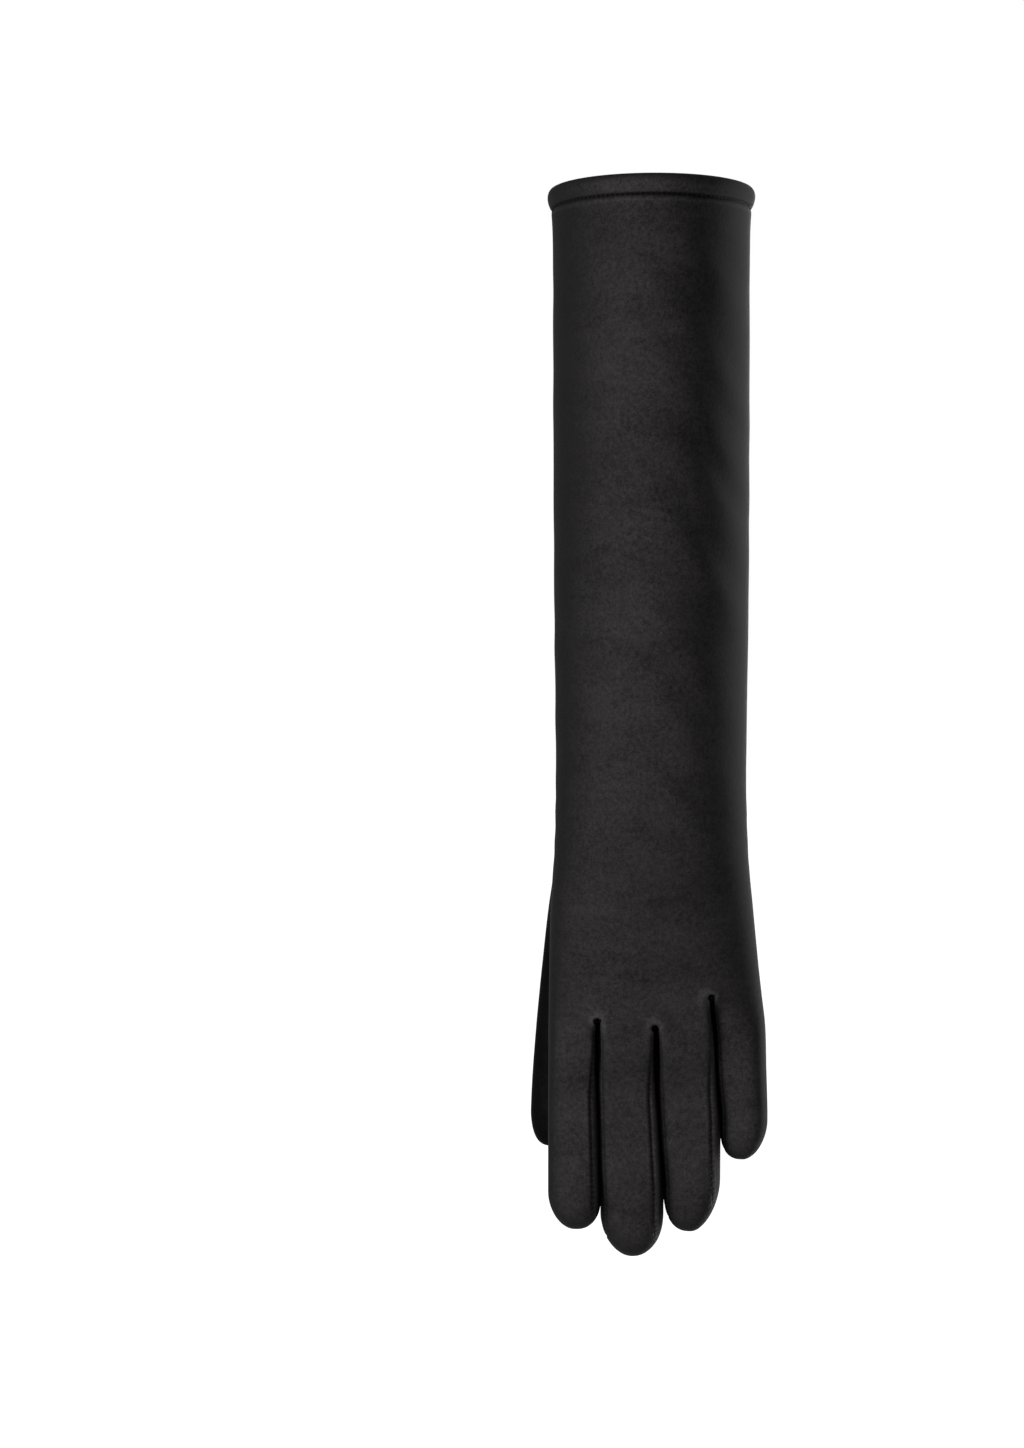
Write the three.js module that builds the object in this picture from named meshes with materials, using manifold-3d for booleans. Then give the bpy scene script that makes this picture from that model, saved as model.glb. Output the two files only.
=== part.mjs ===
// Long dress glove for a left hand, filled out as it is when worn and hanging fingers down.
// X runs from the thumb side to the little finger, Y from the back of the hand to the palm, Z up.
// The origin is the centre of the mouth, level with the top of the hem. Millimetres.
//
// The glove is cut as a real one: the trank is one sheet of suede that makes the sleeve, the hand
// and the front and back of the fingers; three forks fill the sides between the fingers; the thumb
// is a tube set into a hole in the palm; the hem is a folded band over the sleeve's raw edge.
import * as THREE from "three";
import Module from "manifold-3d";

const wasm = await Module();
wasm.setup();

// Material and seams
const WALL = 1.2; // suede with its thin backing
const SEAM_GAP = 0.35; // space left between two pieces where a seam joins them
const FINGER_GAP = 0.5; // space between neighbouring fingers at their widest

// Sleeve and hand, outside sizes
const SLEEVE_WIDTH = 73.3;
const SLEEVE_DEPTH = 71;
const WRIST_WIDTH = 70.9;
const WRIST_DEPTH = 50;
const KNUCKLE_WIDTH = 80.7;
const KNUCKLE_DEPTH = 28.5;
const KNUCKLE_DROP = 312; // from the top of the hem down to the line of the knuckles
const KNUCKLE_SHIFT = 2; // the hand widens more on the little finger's side
const WRIST_SET = -1.5; // the wrist sits this far towards the back of the hand
const KNUCKLE_SET = 1; // and the knuckles this far towards the palm
const SWELL = 0.8; // the sleeve swells out this much just under the hem seam
const SWELL_RISE = 1.5; // the swell rises over this length
const SWELL_FADE = 7; // and dies away over about this one
const DRAPE = 0.4; // height of the soft diagonal drapes on the sleeve
const DRAPE_PITCH = 28; // from one drape down to the next
const DRAPE_LAG = 44.8; // how far a drape comes down from the middle of the back to its side
const DRAPE_START = 8; // the drapes start this far under the hem
const DRAPE_FADE = 20; // and come in over this length
const DRAPE_END = 0.82; // share of KNUCKLE_DROP where they have died away
const DRAPE_DIE = 40; // and the length over which they do
const DRAPE_BACK = 0.35; // the drapes are this much stronger on the back of the arm

// Hem
const HEM_HEIGHT = 7.6;
const HEM_PUFF = 0.9; // how far the band bulges past its own wall
const HEM_FOLD = 2.4; // thickness of the fold above the sleeve's raw edge

// Fingers, outside sizes; the table below shares them out
const FINGER_LENGTH = 88; // middle finger, from the knuckle line to its tip
const FINGER_DEPTH = 18.2; // middle finger, from back to palm
const FINGER_FAN = 81.8; // width across all four fingers near their tips
const FAN_SHIFT = 0.1; // its middle lies this much further out than the knuckles'
const FINGER_ROLL = 9; // degrees that each finger turns its outer side to the front
const ROLL_START = 3; // the turn starts this far below the knuckle line
const FINGER_CURL = 6; // how far the middle fingertip comes towards the palm
const SLOW_BLEND = 16; // the middle of a face leaves the hand's shape over this length
const QUICK_BLEND = 5; // and its edges over this one
const WEB_TRIM = 1.1; // the forks' pointed ends stop this far inside the slits' ends
const WALL_TURN = 0.5; // the wall turns from the hand's way to the finger's over this length
const WEB_DROP = 7; // the slits end this much lower on the palm than on the back
const ROOT_FACE = 0.94; // share of a finger's half width that its faces reach at the root
const FACE_SHARE = 0.8; // and further down, where the forks show at the sides
const ROOT_SQUARE = 7; // superellipse power of a finger's section where it leaves the hand
const FINGER_SQUARE = 2.7; // and further down
const TIP_DEPTH = 2.6; // superellipse power of the rounded tips seen from the side

// A finger takes on its own shape over these shares of FINGER_LENGTH below the knuckle line.
const DEPTH_SETTLE = 0.36;
const FACE_SETTLE = 0.35;
const ROLL_SETTLE = 0.3;
const SQUARE_SETTLE = 0.2;

// Outer corners of the knuckle row, against the slits next to them, as shares of FINGER_LENGTH
const INDEX_CORNER_RISE = 0.04;
const LITTLE_CORNER_RISE = -0.01;
const CORNER_DROP = 0.45; // share of WEB_DROP by which the palm's outer corners lie lower

// Shares of KNUCKLE_DROP over which the rows slant, and the columns move, to meet the slits
const SLANT_START = 0.72;
const MOVE_START = 0.3;
const MOVE_OVER = 0.6;

// Thumb, outside sizes
const THUMB_LENGTH = 122.8; // along its middle, from inside the palm to the tip
const THUMB_WIDTH = 18.6;
const THUMB_DEPTH = 21.5;
const THUMB_SQUARE = 2.2; // superellipse power of its section
const THUMB_GAP = 0.5; // space under the thumb's foot where its seam loops over the palm
const THUMB_BED = 26.4; // the palm is carried on this far down to set the thumb on

// Segments of the faceted mesh
const FACE_SEGMENTS = 5; // across the front or the back of a finger
const OUTER_SEGMENTS = 5; // round the outer side of the index or the little finger
const FORK_SEGMENTS = 3; // across a fork
const SLEEVE_ROWS = 12;
const HEM_ROWS = [0, 1.5, 5, 13]; // mm below the hem band, where the sleeve swells
const THUMB_SIDES = 18;
const THUMB_ROWS = 8;
const THUMB_TURNS = [22, 44, 64, 82]; // degrees round the rounded tip

// Sections of the tube. down is a share of KNUCKLE_DROP; width and depth are full spans there, and
// square is the superellipse power of the section, 2 for a plain ellipse.
const TUBE = [
  { down: 0.0, width: SLEEVE_WIDTH, depth: SLEEVE_DEPTH, square: 2 },
  { down: 0.25, width: 0.999 * SLEEVE_WIDTH, depth: 0.965 * SLEEVE_DEPTH, square: 2 },
  { down: 0.49, width: 0.989 * SLEEVE_WIDTH, depth: 0.86 * SLEEVE_DEPTH, square: 2 },
  { down: 0.71, width: WRIST_WIDTH, depth: WRIST_DEPTH, square: 2.1 },
  { down: 0.8, width: 1.021 * WRIST_WIDTH, depth: 0.87 * WRIST_DEPTH, square: 2.2 },
  { down: 0.86, width: 0.934 * KNUCKLE_WIDTH, depth: 1.36 * KNUCKLE_DEPTH, square: 2.3 },
  { down: 0.93, width: 0.968 * KNUCKLE_WIDTH, depth: 1.16 * KNUCKLE_DEPTH, square: 2.4 },
  { down: 1.0, width: KNUCKLE_WIDTH, depth: KNUCKLE_DEPTH, square: 2.5 },
];

// The tube's middle line at the same places: shift is its move towards the little finger and set
// its move towards the palm.
const TUBE_MIDDLE = [
  { down: 0.0, shift: 0, set: 0 },
  { down: 0.25, shift: 0, set: 0 },
  { down: 0.49, shift: 0, set: 0.3 * WRIST_SET },
  { down: 0.71, shift: -0.1 * KNUCKLE_SHIFT, set: WRIST_SET },
  { down: 0.8, shift: -0.05 * KNUCKLE_SHIFT, set: WRIST_SET },
  { down: 0.86, shift: 0.1 * KNUCKLE_SHIFT, set: 0.3 * KNUCKLE_SET },
  { down: 0.93, shift: 0.5 * KNUCKLE_SHIFT, set: KNUCKLE_SET },
  { down: 1.0, shift: KNUCKLE_SHIFT, set: KNUCKLE_SET },
];

// Fingers from the thumb side outwards. root and fan are where the finger ends across the hand, as
// shares of KNUCKLE_WIDTH at the knuckles and of FINGER_FAN near the tips; length, depth and curl
// are shares of the middle finger's; dome is the rounded tip's height as a share of FINGER_DEPTH.
// The tips are fuller where they touch a neighbour: near and far are the superellipse powers of
// their outlines on the thumb's side and on the little finger's.
const FINGERS = [
  { name: "index", root: 0.2235, fan: 0.2395, length: 0.874, depth: 0.94, curl: 0.8 },
  { name: "middle", root: 0.491, fan: 0.531, length: 1.0, depth: 1.0, curl: 1.0 },
  { name: "ring", root: 0.7475, fan: 0.79, length: 0.887, depth: 0.96, curl: 0.9 },
  { name: "little", root: 1.0, fan: 1.0, length: 0.576, depth: 0.84, curl: 0.6 },
];
const TIPS = [
  { dome: 0.78, near: 1.75, far: 2.6 },
  { dome: 0.9, near: 1.8, far: 2.1 },
  { dome: 1.0, near: 2.5, far: 1.8 },
  { dome: 0.78, near: 2.7, far: 1.75 },
];

// Slits between the fingers: rise is how far above the knuckle line the slit on the back of the
// hand ends, and reach how far below it the fingers are at full spread, as shares of FINGER_LENGTH.
const SLITS = [
  { name: "fork_index_middle", rise: 0.026, reach: 0.68 },
  { name: "fork_middle_ring", rise: 0.0, reach: 0.68 },
  { name: "fork_ring_little", rise: 0.125, reach: 0.37 },
];

// The thumb's middle line. down is a share of THUMB_LENGTH, measured from THUMB_RISE above the
// knuckle line. inside is how far the centre lies inside the hand's thumb edge, as a share of
// THUMB_WIDTH, and back how far it lies behind the hand's middle plane, as a share of THUMB_DEPTH.
// width and depth are shares of those two as well.
const THUMB_RISE = 74;
const THUMB = [
  { down: 0.0, inside: 1.05, back: 0.08, width: 1.9, depth: 1.1 },
  { down: 0.2, inside: 0.8, back: 0.36, width: 1.62, depth: 1.2 },
  { down: 0.4, inside: 0.545, back: 0.68, width: 1.32, depth: 1.15 },
  { down: 0.6, inside: 0.32, back: 0.98, width: 1.1, depth: 1.04 },
  { down: 0.8, inside: 0.175, back: 1.13, width: 1.0, depth: 0.98 },
  { down: 1.0, inside: 0.105, back: 1.15, width: 0.96, depth: 0.94 },
];
const THUMB_DOME = 0.62; // height of the rounded tip as a share of THUMB_DEPTH
const THUMB_FULL = 0.8; // power of the tip's outline, 1 for an ellipse, less for a fuller tip

const smooth = (t) => {
  const u = Math.min(1, Math.max(0, t));
  return u * u * (3 - 2 * u);
};
const mix = (a, b, t) => a + (b - a) * t;
const mixPoint = (p, q, t) => p.map((v, i) => mix(v, q[i], t));

// A smooth curve through the rows of a table: value of the named column at a place along key.
function readTable(rows, key, column, place) {
  const at = Math.min(rows.at(-1)[key], Math.max(rows[0][key], place));
  const i = Math.min(rows.length - 2, rows.findLastIndex((r) => r[key] <= at));
  const slope = (j) => {
    const [p, q] = [rows[Math.max(0, j - 1)], rows[Math.min(rows.length - 1, j + 1)]];
    return (q[column] - p[column]) / (q[key] - p[key]);
  };
  const [a, b] = [rows[i], rows[i + 1]];
  const span = b[key] - a[key];
  const t = (at - a[key]) / span;
  const [t2, t3] = [t * t, t * t * t];
  return (
    a[column] * (2 * t3 - 3 * t2 + 1) +
    slope(i) * span * (t3 - 2 * t2 + t) +
    b[column] * (3 * t2 - 2 * t3) +
    slope(i + 1) * span * (t3 - t2)
  );
}

// A point on a superellipse of half sizes w and d. Angle 0 looks to the little finger and a
// quarter turn to the back of the hand, which faces -Y.
function oval(w, d, square, angle) {
  const power = (v) => Math.sign(v) * Math.abs(v) ** (2 / square);
  return [w * power(Math.cos(angle)), -d * power(Math.sin(angle))];
}

// What is left of one half size of a superellipse at a share of the other.
const leftOver = (share, square) => (1 - Math.min(1, Math.abs(share)) ** square) ** (1 / square);

// The angle at which that superellipse stands at a share of its half width, on the back of the hand.
const angleAcross = (share, square) => {
  const c = Math.sign(share) * Math.abs(share) ** (square / 2);
  return Math.acos(Math.min(1, Math.max(-1, c)));
};

// The sleeve and hand: one tube whose section is read from the table at every height.
function tubeAt(z) {
  const size = (column) => readTable(TUBE, "down", column, -z / KNUCKLE_DROP);
  const middle = (column) => readTable(TUBE_MIDDLE, "down", column, -z / KNUCKLE_DROP);
  return {
    x: middle("shift"),
    y: middle("set"),
    w: size("width") / 2,
    d: size("depth") / 2,
    square: size("square"),
  };
}

// What the surface stands proud of the plain section: the swell under the hem and the drapes.
function relief(angle, z) {
  const below = -z - HEM_HEIGHT;
  const swell = SWELL * smooth(below / SWELL_RISE) * Math.exp(-Math.max(0, below) / SWELL_FADE);
  const wave = Math.sin((2 * Math.PI * (-z - DRAPE_LAG * Math.cos(angle))) / DRAPE_PITCH);
  const comeIn = smooth((below - DRAPE_START) / DRAPE_FADE);
  const dieAway = smooth((DRAPE_END * KNUCKLE_DROP + z) / DRAPE_DIE);
  const round = 1 - DRAPE_BACK + DRAPE_BACK * Math.sin(angle);
  return swell + DRAPE * wave * comeIn * dieAway * round;
}

function tubePoint(angle, z, inset) {
  const s = tubeAt(z);
  const proud = relief(angle, z) - inset;
  const [x, y] = oval(s.w + proud, s.d + proud, s.square, angle);
  return [s.x + x, s.y + y, z];
}

// Where the fingers and slits stand. Edge 0 is the thumb side and edge 4 the little finger's side.
const knuckles = tubeAt(-KNUCKLE_DROP);
const across = (column, edge) => (edge === 0 ? 0 : FINGERS[edge - 1][column]);
const rootX = (edge) => knuckles.x + KNUCKLE_WIDTH * (across("root", edge) - 0.5);
const fanX = (edge) => knuckles.x + FAN_SHIFT + FINGER_FAN * (across("fan", edge) - 0.5);
const slitEnd = (slit) => -KNUCKLE_DROP + SLITS[slit].rise * FINGER_LENGTH;

// The line that runs down between two fingers, or down the outer side of the outer ones.
function edgeX(edge, z) {
  const slit = SLITS[Math.min(2, Math.max(0, edge - 1))];
  const start = -KNUCKLE_DROP + slit.rise * FINGER_LENGTH;
  const t = (start - z) / ((slit.reach + slit.rise) * FINGER_LENGTH);
  return mix(rootX(edge), fanX(edge), Math.min(1, Math.max(0, t)));
}

// Everything about one finger's section at a height: centre, half sizes, squareness and roll.
function fingerAt(f, z, inset) {
  const row = FINGERS[f];
  const inner = (edge) => edge > 0 && edge < FINGERS.length;
  const left = edgeX(f, z) + (inner(f) ? FINGER_GAP / 2 : 0);
  const right = edgeX(f + 1, z) - (inner(f + 1) ? FINGER_GAP / 2 : 0);
  const tip = -KNUCKLE_DROP - row.length * FINGER_LENGTH;
  const { dome: domeShare, near, far } = TIPS[f];
  const dome = domeShare * FINGER_DEPTH;
  const below = -KNUCKLE_DROP - z;
  const middle = (rootX(f) + rootX(f + 1)) / 2;
  const shareOut = Math.abs((middle - knuckles.x) / knuckles.w) ** knuckles.square;
  const rootDepth = knuckles.d * (1 - shareOut) ** (1 / knuckles.square);
  const into = smooth(below / (DEPTH_SETTLE * FINGER_LENGTH));
  const fullDepth = mix(rootDepth, (row.depth * FINGER_DEPTH) / 2, into);
  const settle = ROLL_SETTLE * FINGER_LENGTH;
  const rounded = Math.min(1, Math.max(0, (tip + dome - z) / (dome - inset)));
  const half = (right - left) / 2 - inset;
  const wide = { near: half * leftOver(rounded, near), far: half * leftOver(rounded, far) };
  return {
    x: (left + right + wide.far - wide.near) / 2,
    y: knuckles.y * (1 - into) + row.curl * FINGER_CURL * (below / FINGER_LENGTH) ** 2,
    w: (wide.near + wide.far) / 2,
    d: (fullDepth - inset) * leftOver(rounded, TIP_DEPTH),
    // Square where a slit has just parted the fingers, plain on the hand's own outer sides.
    square: [f, f + 1].map((edge) => {
      const parted = inner(edge) ? ROOT_SQUARE : FINGER_SQUARE;
      return mix(parted, FINGER_SQUARE, smooth(below / (SQUARE_SETTLE * FINGER_LENGTH)));
    }),
    roll: THREE.MathUtils.degToRad(FINGER_ROLL) * smooth((below - ROLL_START) / settle),
  };
}

// A point of a finger's section. across is a share of the half width on its front or back face,
// rise a share of the half depth on one of its flanks, counted up towards the back of the hand.
function fingerPoint(f, spot, z, inset) {
  const s = fingerAt(f, z, inset);
  const power = s.square[(spot.across ?? spot.way) < 0 ? 0 : 1];
  const [x, y] =
    spot.rise === undefined
      ? [s.w * spot.across, -s.d * spot.way * leftOver(spot.across, power)]
      : [s.w * spot.way * leftOver(spot.rise, power), -s.d * spot.rise];
  const [c, n] = [Math.cos(s.roll), Math.sin(s.roll)];
  return [s.x + x * c + y * n, s.y - x * n + y * c, z];
}

// A closed wall is made of named lattice points, each with an outer and an inner place, and of
// quads between them. Quads run anticlockwise seen from outside.
class Wall {
  constructor() {
    this.index = new Map();
    this.outer = [];
    this.inner = [];
    this.quads = [];
  }
  // place(inset) gives the point at that depth under the outer surface.
  point(name, place) {
    if (!this.index.has(name)) {
      this.index.set(name, this.outer.length);
      this.outer.push(place(0));
      this.inner.push(place(WALL));
    }
    return this.index.get(name);
  }
  quad(a, b, c, d) {
    this.quads.push([a, b, c, d]);
  }
  // Outer faces, inner faces turned round, and a strip of wall along every free edge.
  geometry() {
    const count = this.outer.length;
    const edges = new Map();
    const faces = [];
    const triangle = (a, b, c) => {
      if (a !== b && b !== c && c !== a) faces.push([a, b, c]);
    };
    for (const q of this.quads) {
      triangle(q[0], q[1], q[2]);
      triangle(q[0], q[2], q[3]);
      triangle(q[2] + count, q[1] + count, q[0] + count);
      triangle(q[3] + count, q[2] + count, q[0] + count);
      q.forEach((a, i) => {
        const b = q[(i + 1) % 4];
        if (a !== b) edges.set(a + "," + b, [a, b]);
      });
    }
    for (const [a, b] of edges.values()) {
      if (edges.has(b + "," + a)) continue;
      // The diagonal starts at the same corner for the pieces on both sides of a seam, so their
      // walls run side by side.
      const far = (a < b ? b : a) + count;
      triangle(b, a, far);
      if (a < b) triangle(a, a + count, b + count);
      else triangle(b, a + count, b + count);
    }
    const made = new THREE.BufferGeometry();
    const places = [...this.outer, ...this.inner].flat();
    made.setAttribute("position", new THREE.Float32BufferAttribute(places, 3));
    made.setIndex(faces.flat());
    return made;
  }
}

// Columns round a finger, from the little finger's side over the back of the hand to the thumb
// side and home over the palm. kind says which piece owns the strip that starts at the column.
function fingerColumns(f) {
  const columns = [];
  const strip = (kind, side, count) => {
    for (let i = 0; i < count; i++) columns.push({ kind, side, i, count });
  };
  const flank = (edge, side) => {
    if (edge === 0 || edge === FINGERS.length) {
      strip("outer", side, OUTER_SEGMENTS);
      return;
    }
    strip("seam", side + "_in", 1);
    strip("fork", side, FORK_SEGMENTS);
    strip("seam", side + "_out", 1);
  };
  strip("face", "front", FACE_SEGMENTS);
  flank(f, "thumbward");
  strip("face", "back", FACE_SEGMENTS);
  flank(f + 1, "outward");
  return columns;
}

// Where a finger's column stands on its section at a height. Faces end at the seams, which lie
// close to the slit at the root and further round on the faces lower down; the forks fill what is
// left, with the seam's gap at either edge.
function columnSpot(f, column, z) {
  const s = fingerAt(f, z, 0);
  const below = -KNUCKLE_DROP - z;
  const along = column.i / column.count;
  const spreadAt = (edge) => {
    const root = edge > 0 && edge < FINGERS.length ? ROOT_FACE : FACE_SHARE;
    return mix(root, FACE_SHARE, smooth(below / (FACE_SETTLE * FINGER_LENGTH)));
  };
  if (column.kind === "face") {
    const way = column.side === "front" ? 1 : -1;
    const outward = way * (1 - 2 * along);
    return { across: outward * spreadAt(outward < 0 ? f : f + 1), way };
  }
  const way = column.side.startsWith("thumbward") ? -1 : 1;
  const spread = spreadAt(way < 0 ? f : f + 1);
  const power = s.square[way < 0 ? 0 : 1];
  const corner = leftOver(spread, power);
  const lean = s.w * (corner / spread) ** (power - 1);
  const nudge = SEAM_GAP / Math.max(WALL, Math.hypot(s.d, lean) - WALL);
  const turn = (rise) => ({ rise: -way * rise, way });
  if (column.kind === "outer") return turn(mix(corner, -corner, along));
  if (column.side.endsWith("_in")) return turn(corner);
  if (column.side.endsWith("_out")) return turn(nudge - corner);
  return turn(mix(corner - nudge, nudge - corner, along));
}

// Stops along the knuckle row, round the tube from the little finger's corner on the back of the
// hand: the angle on the tube and the height of the row there.
function knuckleStops() {
  const seat = (edge, inward) => {
    const x = edge === 0 || edge === FINGERS.length ? edgeCorner(edge) : rootX(edge);
    const angle = angleAcross((x - knuckles.x) / knuckles.w, knuckles.square);
    return inward ? 2 * Math.PI - angle : angle;
  };
  const height = (edge) => {
    if (edge === 0) return slitEnd(0) + INDEX_CORNER_RISE * FINGER_LENGTH;
    if (edge === FINGERS.length) return slitEnd(2) + LITTLE_CORNER_RISE * FINGER_LENGTH;
    return slitEnd(edge - 1);
  };
  const stops = [];
  for (let edge = FINGERS.length; edge >= 0; edge--)
    stops.push({ angle: seat(edge, false), z: height(edge) });
  for (let edge = 0; edge <= FINGERS.length; edge++) {
    const outer = edge === 0 || edge === FINGERS.length;
    stops.push({ angle: seat(edge, true), z: height(edge) - (outer ? CORNER_DROP : 1) * WEB_DROP });
  }
  stops.push({ angle: stops[0].angle + 2 * Math.PI, z: stops[0].z });
  return stops;
}

// The corner where the face of an outer finger turns into its outer side.
function edgeCorner(edge) {
  const f = edge === 0 ? 0 : FINGERS.length - 1;
  const half = (rootX(f + 1) - rootX(f)) / 2;
  return (rootX(f) + rootX(f + 1)) / 2 + (edge === 0 ? -FACE_SHARE : FACE_SHARE) * half;
}

// The tube's columns: each with its angle and height on the knuckle row, and an even angle that
// the sleeve uses further up.
function tubeColumns() {
  const stops = knuckleStops();
  const columns = [];
  stops.slice(0, -1).forEach((stop, n) => {
    const next = stops[n + 1];
    const outer = n === FINGERS.length || n === stops.length - 2;
    const count = outer ? OUTER_SEGMENTS : FACE_SEGMENTS;
    for (let i = 0; i < count; i++) {
      const angle = mix(stop.angle, next.angle, i / count);
      columns.push({ angle, z: mix(stop.z, next.z, smooth(i / count)) });
    }
  });
  const first = columns[0].angle;
  columns.forEach((c, i) => (c.even = first + (2 * Math.PI * i) / columns.length));
  return columns;
}

// Builds the lattice of sleeve, hand and fingers once, and hands each quad to the piece it
// belongs to.
function sewGlove() {
  const wall = new Wall();
  const quads = { trank: [] };
  SLITS.forEach((s) => (quads[s.name] = []));

  const columns = tubeColumns();
  const rows = [-HEM_FOLD, ...HEM_ROWS.map((below) => -HEM_HEIGHT - below)];
  const last = rows.at(-1);
  for (let i = 1; i <= SLEEVE_ROWS; i++) rows.push(mix(last, -KNUCKLE_DROP, i / SLEEVE_ROWS));
  const tubeName = (row, column) => "tube:" + row + ":" + (column % columns.length);
  const grown = rows.map((level, row) => {
    const down = -level / KNUCKLE_DROP;
    const slant = smooth((down - SLANT_START) / (1 - SLANT_START));
    return columns.map((c, column) => {
      const angle = mix(c.even, c.angle, smooth((down - MOVE_START) / MOVE_OVER));
      const z = level + (c.z + KNUCKLE_DROP) * slant;
      const sink = row === rows.length - 1 ? 1 : 0;
      wall.point(tubeName(row, column), (inset) => tubePoint(angle, z + sink * inset, inset));
      return tubePoint(angle, z, -THUMB_GAP);
    });
  });
  for (let row = 0; row + 1 < rows.length; row++)
    for (let c = 0; c < columns.length; c++) {
      const corner = (r, k) => wall.index.get(tubeName(r, k));
      const top = [corner(row, c), corner(row, c + 1)];
      quads.trank.push([...top, corner(row + 1, c + 1), corner(row + 1, c)]);
    }

  // The webs: lines from the slit's end on the back of the hand to its end on the palm, shared by
  // the forks of both fingers and kept off the trank by the seam's gap.
  SLITS.forEach((slit, n) => {
    const end = (column) => wall.index.get(tubeName(rows.length - 1, column));
    const front = end((FINGERS.length - 1 - n) * FACE_SEGMENTS);
    const back = end((FINGERS.length + n + 1) * FACE_SEGMENTS + OUTER_SEGMENTS);
    const depth = wall.outer[back][1] - wall.outer[front][1];
    const trim = WEB_TRIM / depth;
    for (let i = 0; i <= FORK_SEGMENTS; i++) {
      const share = mix(trim, 1 - trim, i / FORK_SEGMENTS);
      wall.point("web:" + n + ":" + i, (inset) => {
        const side = inset ? wall.inner : wall.outer;
        return mixPoint(side[front], side[back], share);
      });
    }
  });

  FINGERS.forEach((finger, f) => addFinger(wall, quads, f, columns, rows.length - 1, tubeName));
  // The palm's outside, carried on down past the fingers' roots, for setting the thumb on.
  const foot = grown.at(-1).map(([x, y, z]) => [x, y, z - THUMB_BED]);
  const palm = solid(loft([...grown.slice(grown.length / 2), foot]));
  return { wall, quads, palm };
}

// 1 on the columns along a slit, falling to 0 over the middle of a face and on the outer sides.
function nearSlit(f, column) {
  if (column.kind !== "face") return column.kind === "outer" ? 0 : 1;
  const along = column.i / column.count;
  const outward = column.side === "front" ? 1 - along : along;
  const ends = [f > 0 ? 1 - outward : 0, f < FINGERS.length - 1 ? outward : 0];
  return Math.max(...ends) ** 3;
}

// Rows down a finger: shares of the way from the knuckle row to the start of the dome, then turns
// of the dome. The forks end on the row marked forkEnd, and the trank closes over them after it.
const BODY_ROWS = [0, 0.012, 0.035, 0.08, 0.15, 0.25, 0.4, 0.6, 0.8, 1];
const DOME_TURNS = [22, 42];
const CLOSED_TURNS = [64, 80];

function fingerRows(f) {
  const dome = TIPS[f].dome * FINGER_DEPTH;
  const body = BODY_ROWS.map((share) => ({ share, drop: 0 }));
  const turned = (turn) => ({ share: 1, drop: dome * Math.sin(THREE.MathUtils.degToRad(turn)) });
  const rows = [...body, ...DOME_TURNS.map(turned)];
  const forkEnd = rows.length - 1;
  rows.push({ share: 1, drop: rows[forkEnd].drop + SEAM_GAP }, ...CLOSED_TURNS.map(turned));
  return { rows, forkEnd, dome };
}

function addFinger(wall, quads, f, tube, bottomRow, tubeName) {
  const columns = fingerColumns(f);
  const { rows, forkEnd, dome } = fingerRows(f);
  const tip = -KNUCKLE_DROP - FINGERS[f].length * FINGER_LENGTH;
  const slitOf = { thumbward: f - 1, outward: f };
  // Where the finger's faces start on the tube: the faces run from the little finger inwards on
  // the back of the hand, and outwards again on the palm after the index finger's outer side.
  const frontStart = (FINGERS.length - 1 - f) * FACE_SEGMENTS;
  const backStart = (FINGERS.length + f) * FACE_SEGMENTS + OUTER_SEGMENTS;
  const outerStart =
    f === 0
      ? FINGERS.length * FACE_SEGMENTS
      : 2 * FINGERS.length * FACE_SEGMENTS + OUTER_SEGMENTS;

  const rootName = (column) => {
    const { kind, side, i } = column;
    if (side === "front") return tubeName(bottomRow, frontStart + i);
    if (side === "back") return tubeName(bottomRow, backStart + i);
    if (kind === "outer") return tubeName(bottomRow, outerStart + i);
    const thumbward = side.startsWith("thumbward");
    if (side.endsWith("_in"))
      return tubeName(bottomRow, (thumbward ? frontStart : backStart) + FACE_SEGMENTS);
    const step = side.endsWith("_out") ? FORK_SEGMENTS : i;
    const web = thumbward ? slitOf.thumbward : slitOf.outward;
    return "web:" + web + ":" + (thumbward ? step : FORK_SEGMENTS - step);
  };

  const names = rows.map((row, r) =>
    columns.map((column, c) => {
      if (r === 0) return rootName(column);
      const name = "finger:" + f + ":" + r + ":" + c;
      const root = wall.index.get(rootName(column));
      const z = mix(wall.outer[root][2], tip + dome, row.share) - row.drop;
      const below = wall.outer[root][2] - z;
      const spot = columnSpot(f, column, z);
      const own = fingerPoint(f, spot, z, 0);
      const settle = mix(SLOW_BLEND, QUICK_BLEND, nearSlit(f, column));
      const outer = [
        mix(wall.outer[root][0], own[0], smooth(below / settle)),
        mix(wall.outer[root][1], own[1], smooth(below / SLOW_BLEND)),
        z,
      ];
      const under = fingerPoint(f, spot, z + WALL * (row.drop / dome), WALL);
      const turned = smooth(below / WALL_TURN);
      wall.point(name, (inset) =>
        outer.map((v, i) => {
          const above = wall.inner[root][i] - wall.outer[root][i];
          return v + (inset / WALL) * mix(above, under[i] - own[i], turned);
        }),
      );
      return name;
    }),
  );
  const at = (r, c) => wall.index.get(names[r][c % columns.length]);

  for (let r = 0; r + 1 < rows.length; r++)
    columns.forEach((column, c) => {
      const quad = [at(r, c), at(r, c + 1), at(r + 1, c + 1), at(r + 1, c)];
      const side = column.side.split("_")[0];
      if (column.kind === "face" || column.kind === "outer" || r > forkEnd) quads.trank.push(quad);
      else if (column.kind === "fork" && r < forkEnd) quads[SLITS[slitOf[side]].name].push(quad);
    });

  const pole = wall.point("tip:" + f, (inset) => {
    const s = fingerAt(f, tip, inset);
    return [s.x, s.y, tip + inset];
  });
  const end = rows.length - 1;
  columns.forEach((column, c) => quads.trank.push([at(end, c), at(end, c + 1), pole, pole]));
}

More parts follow.
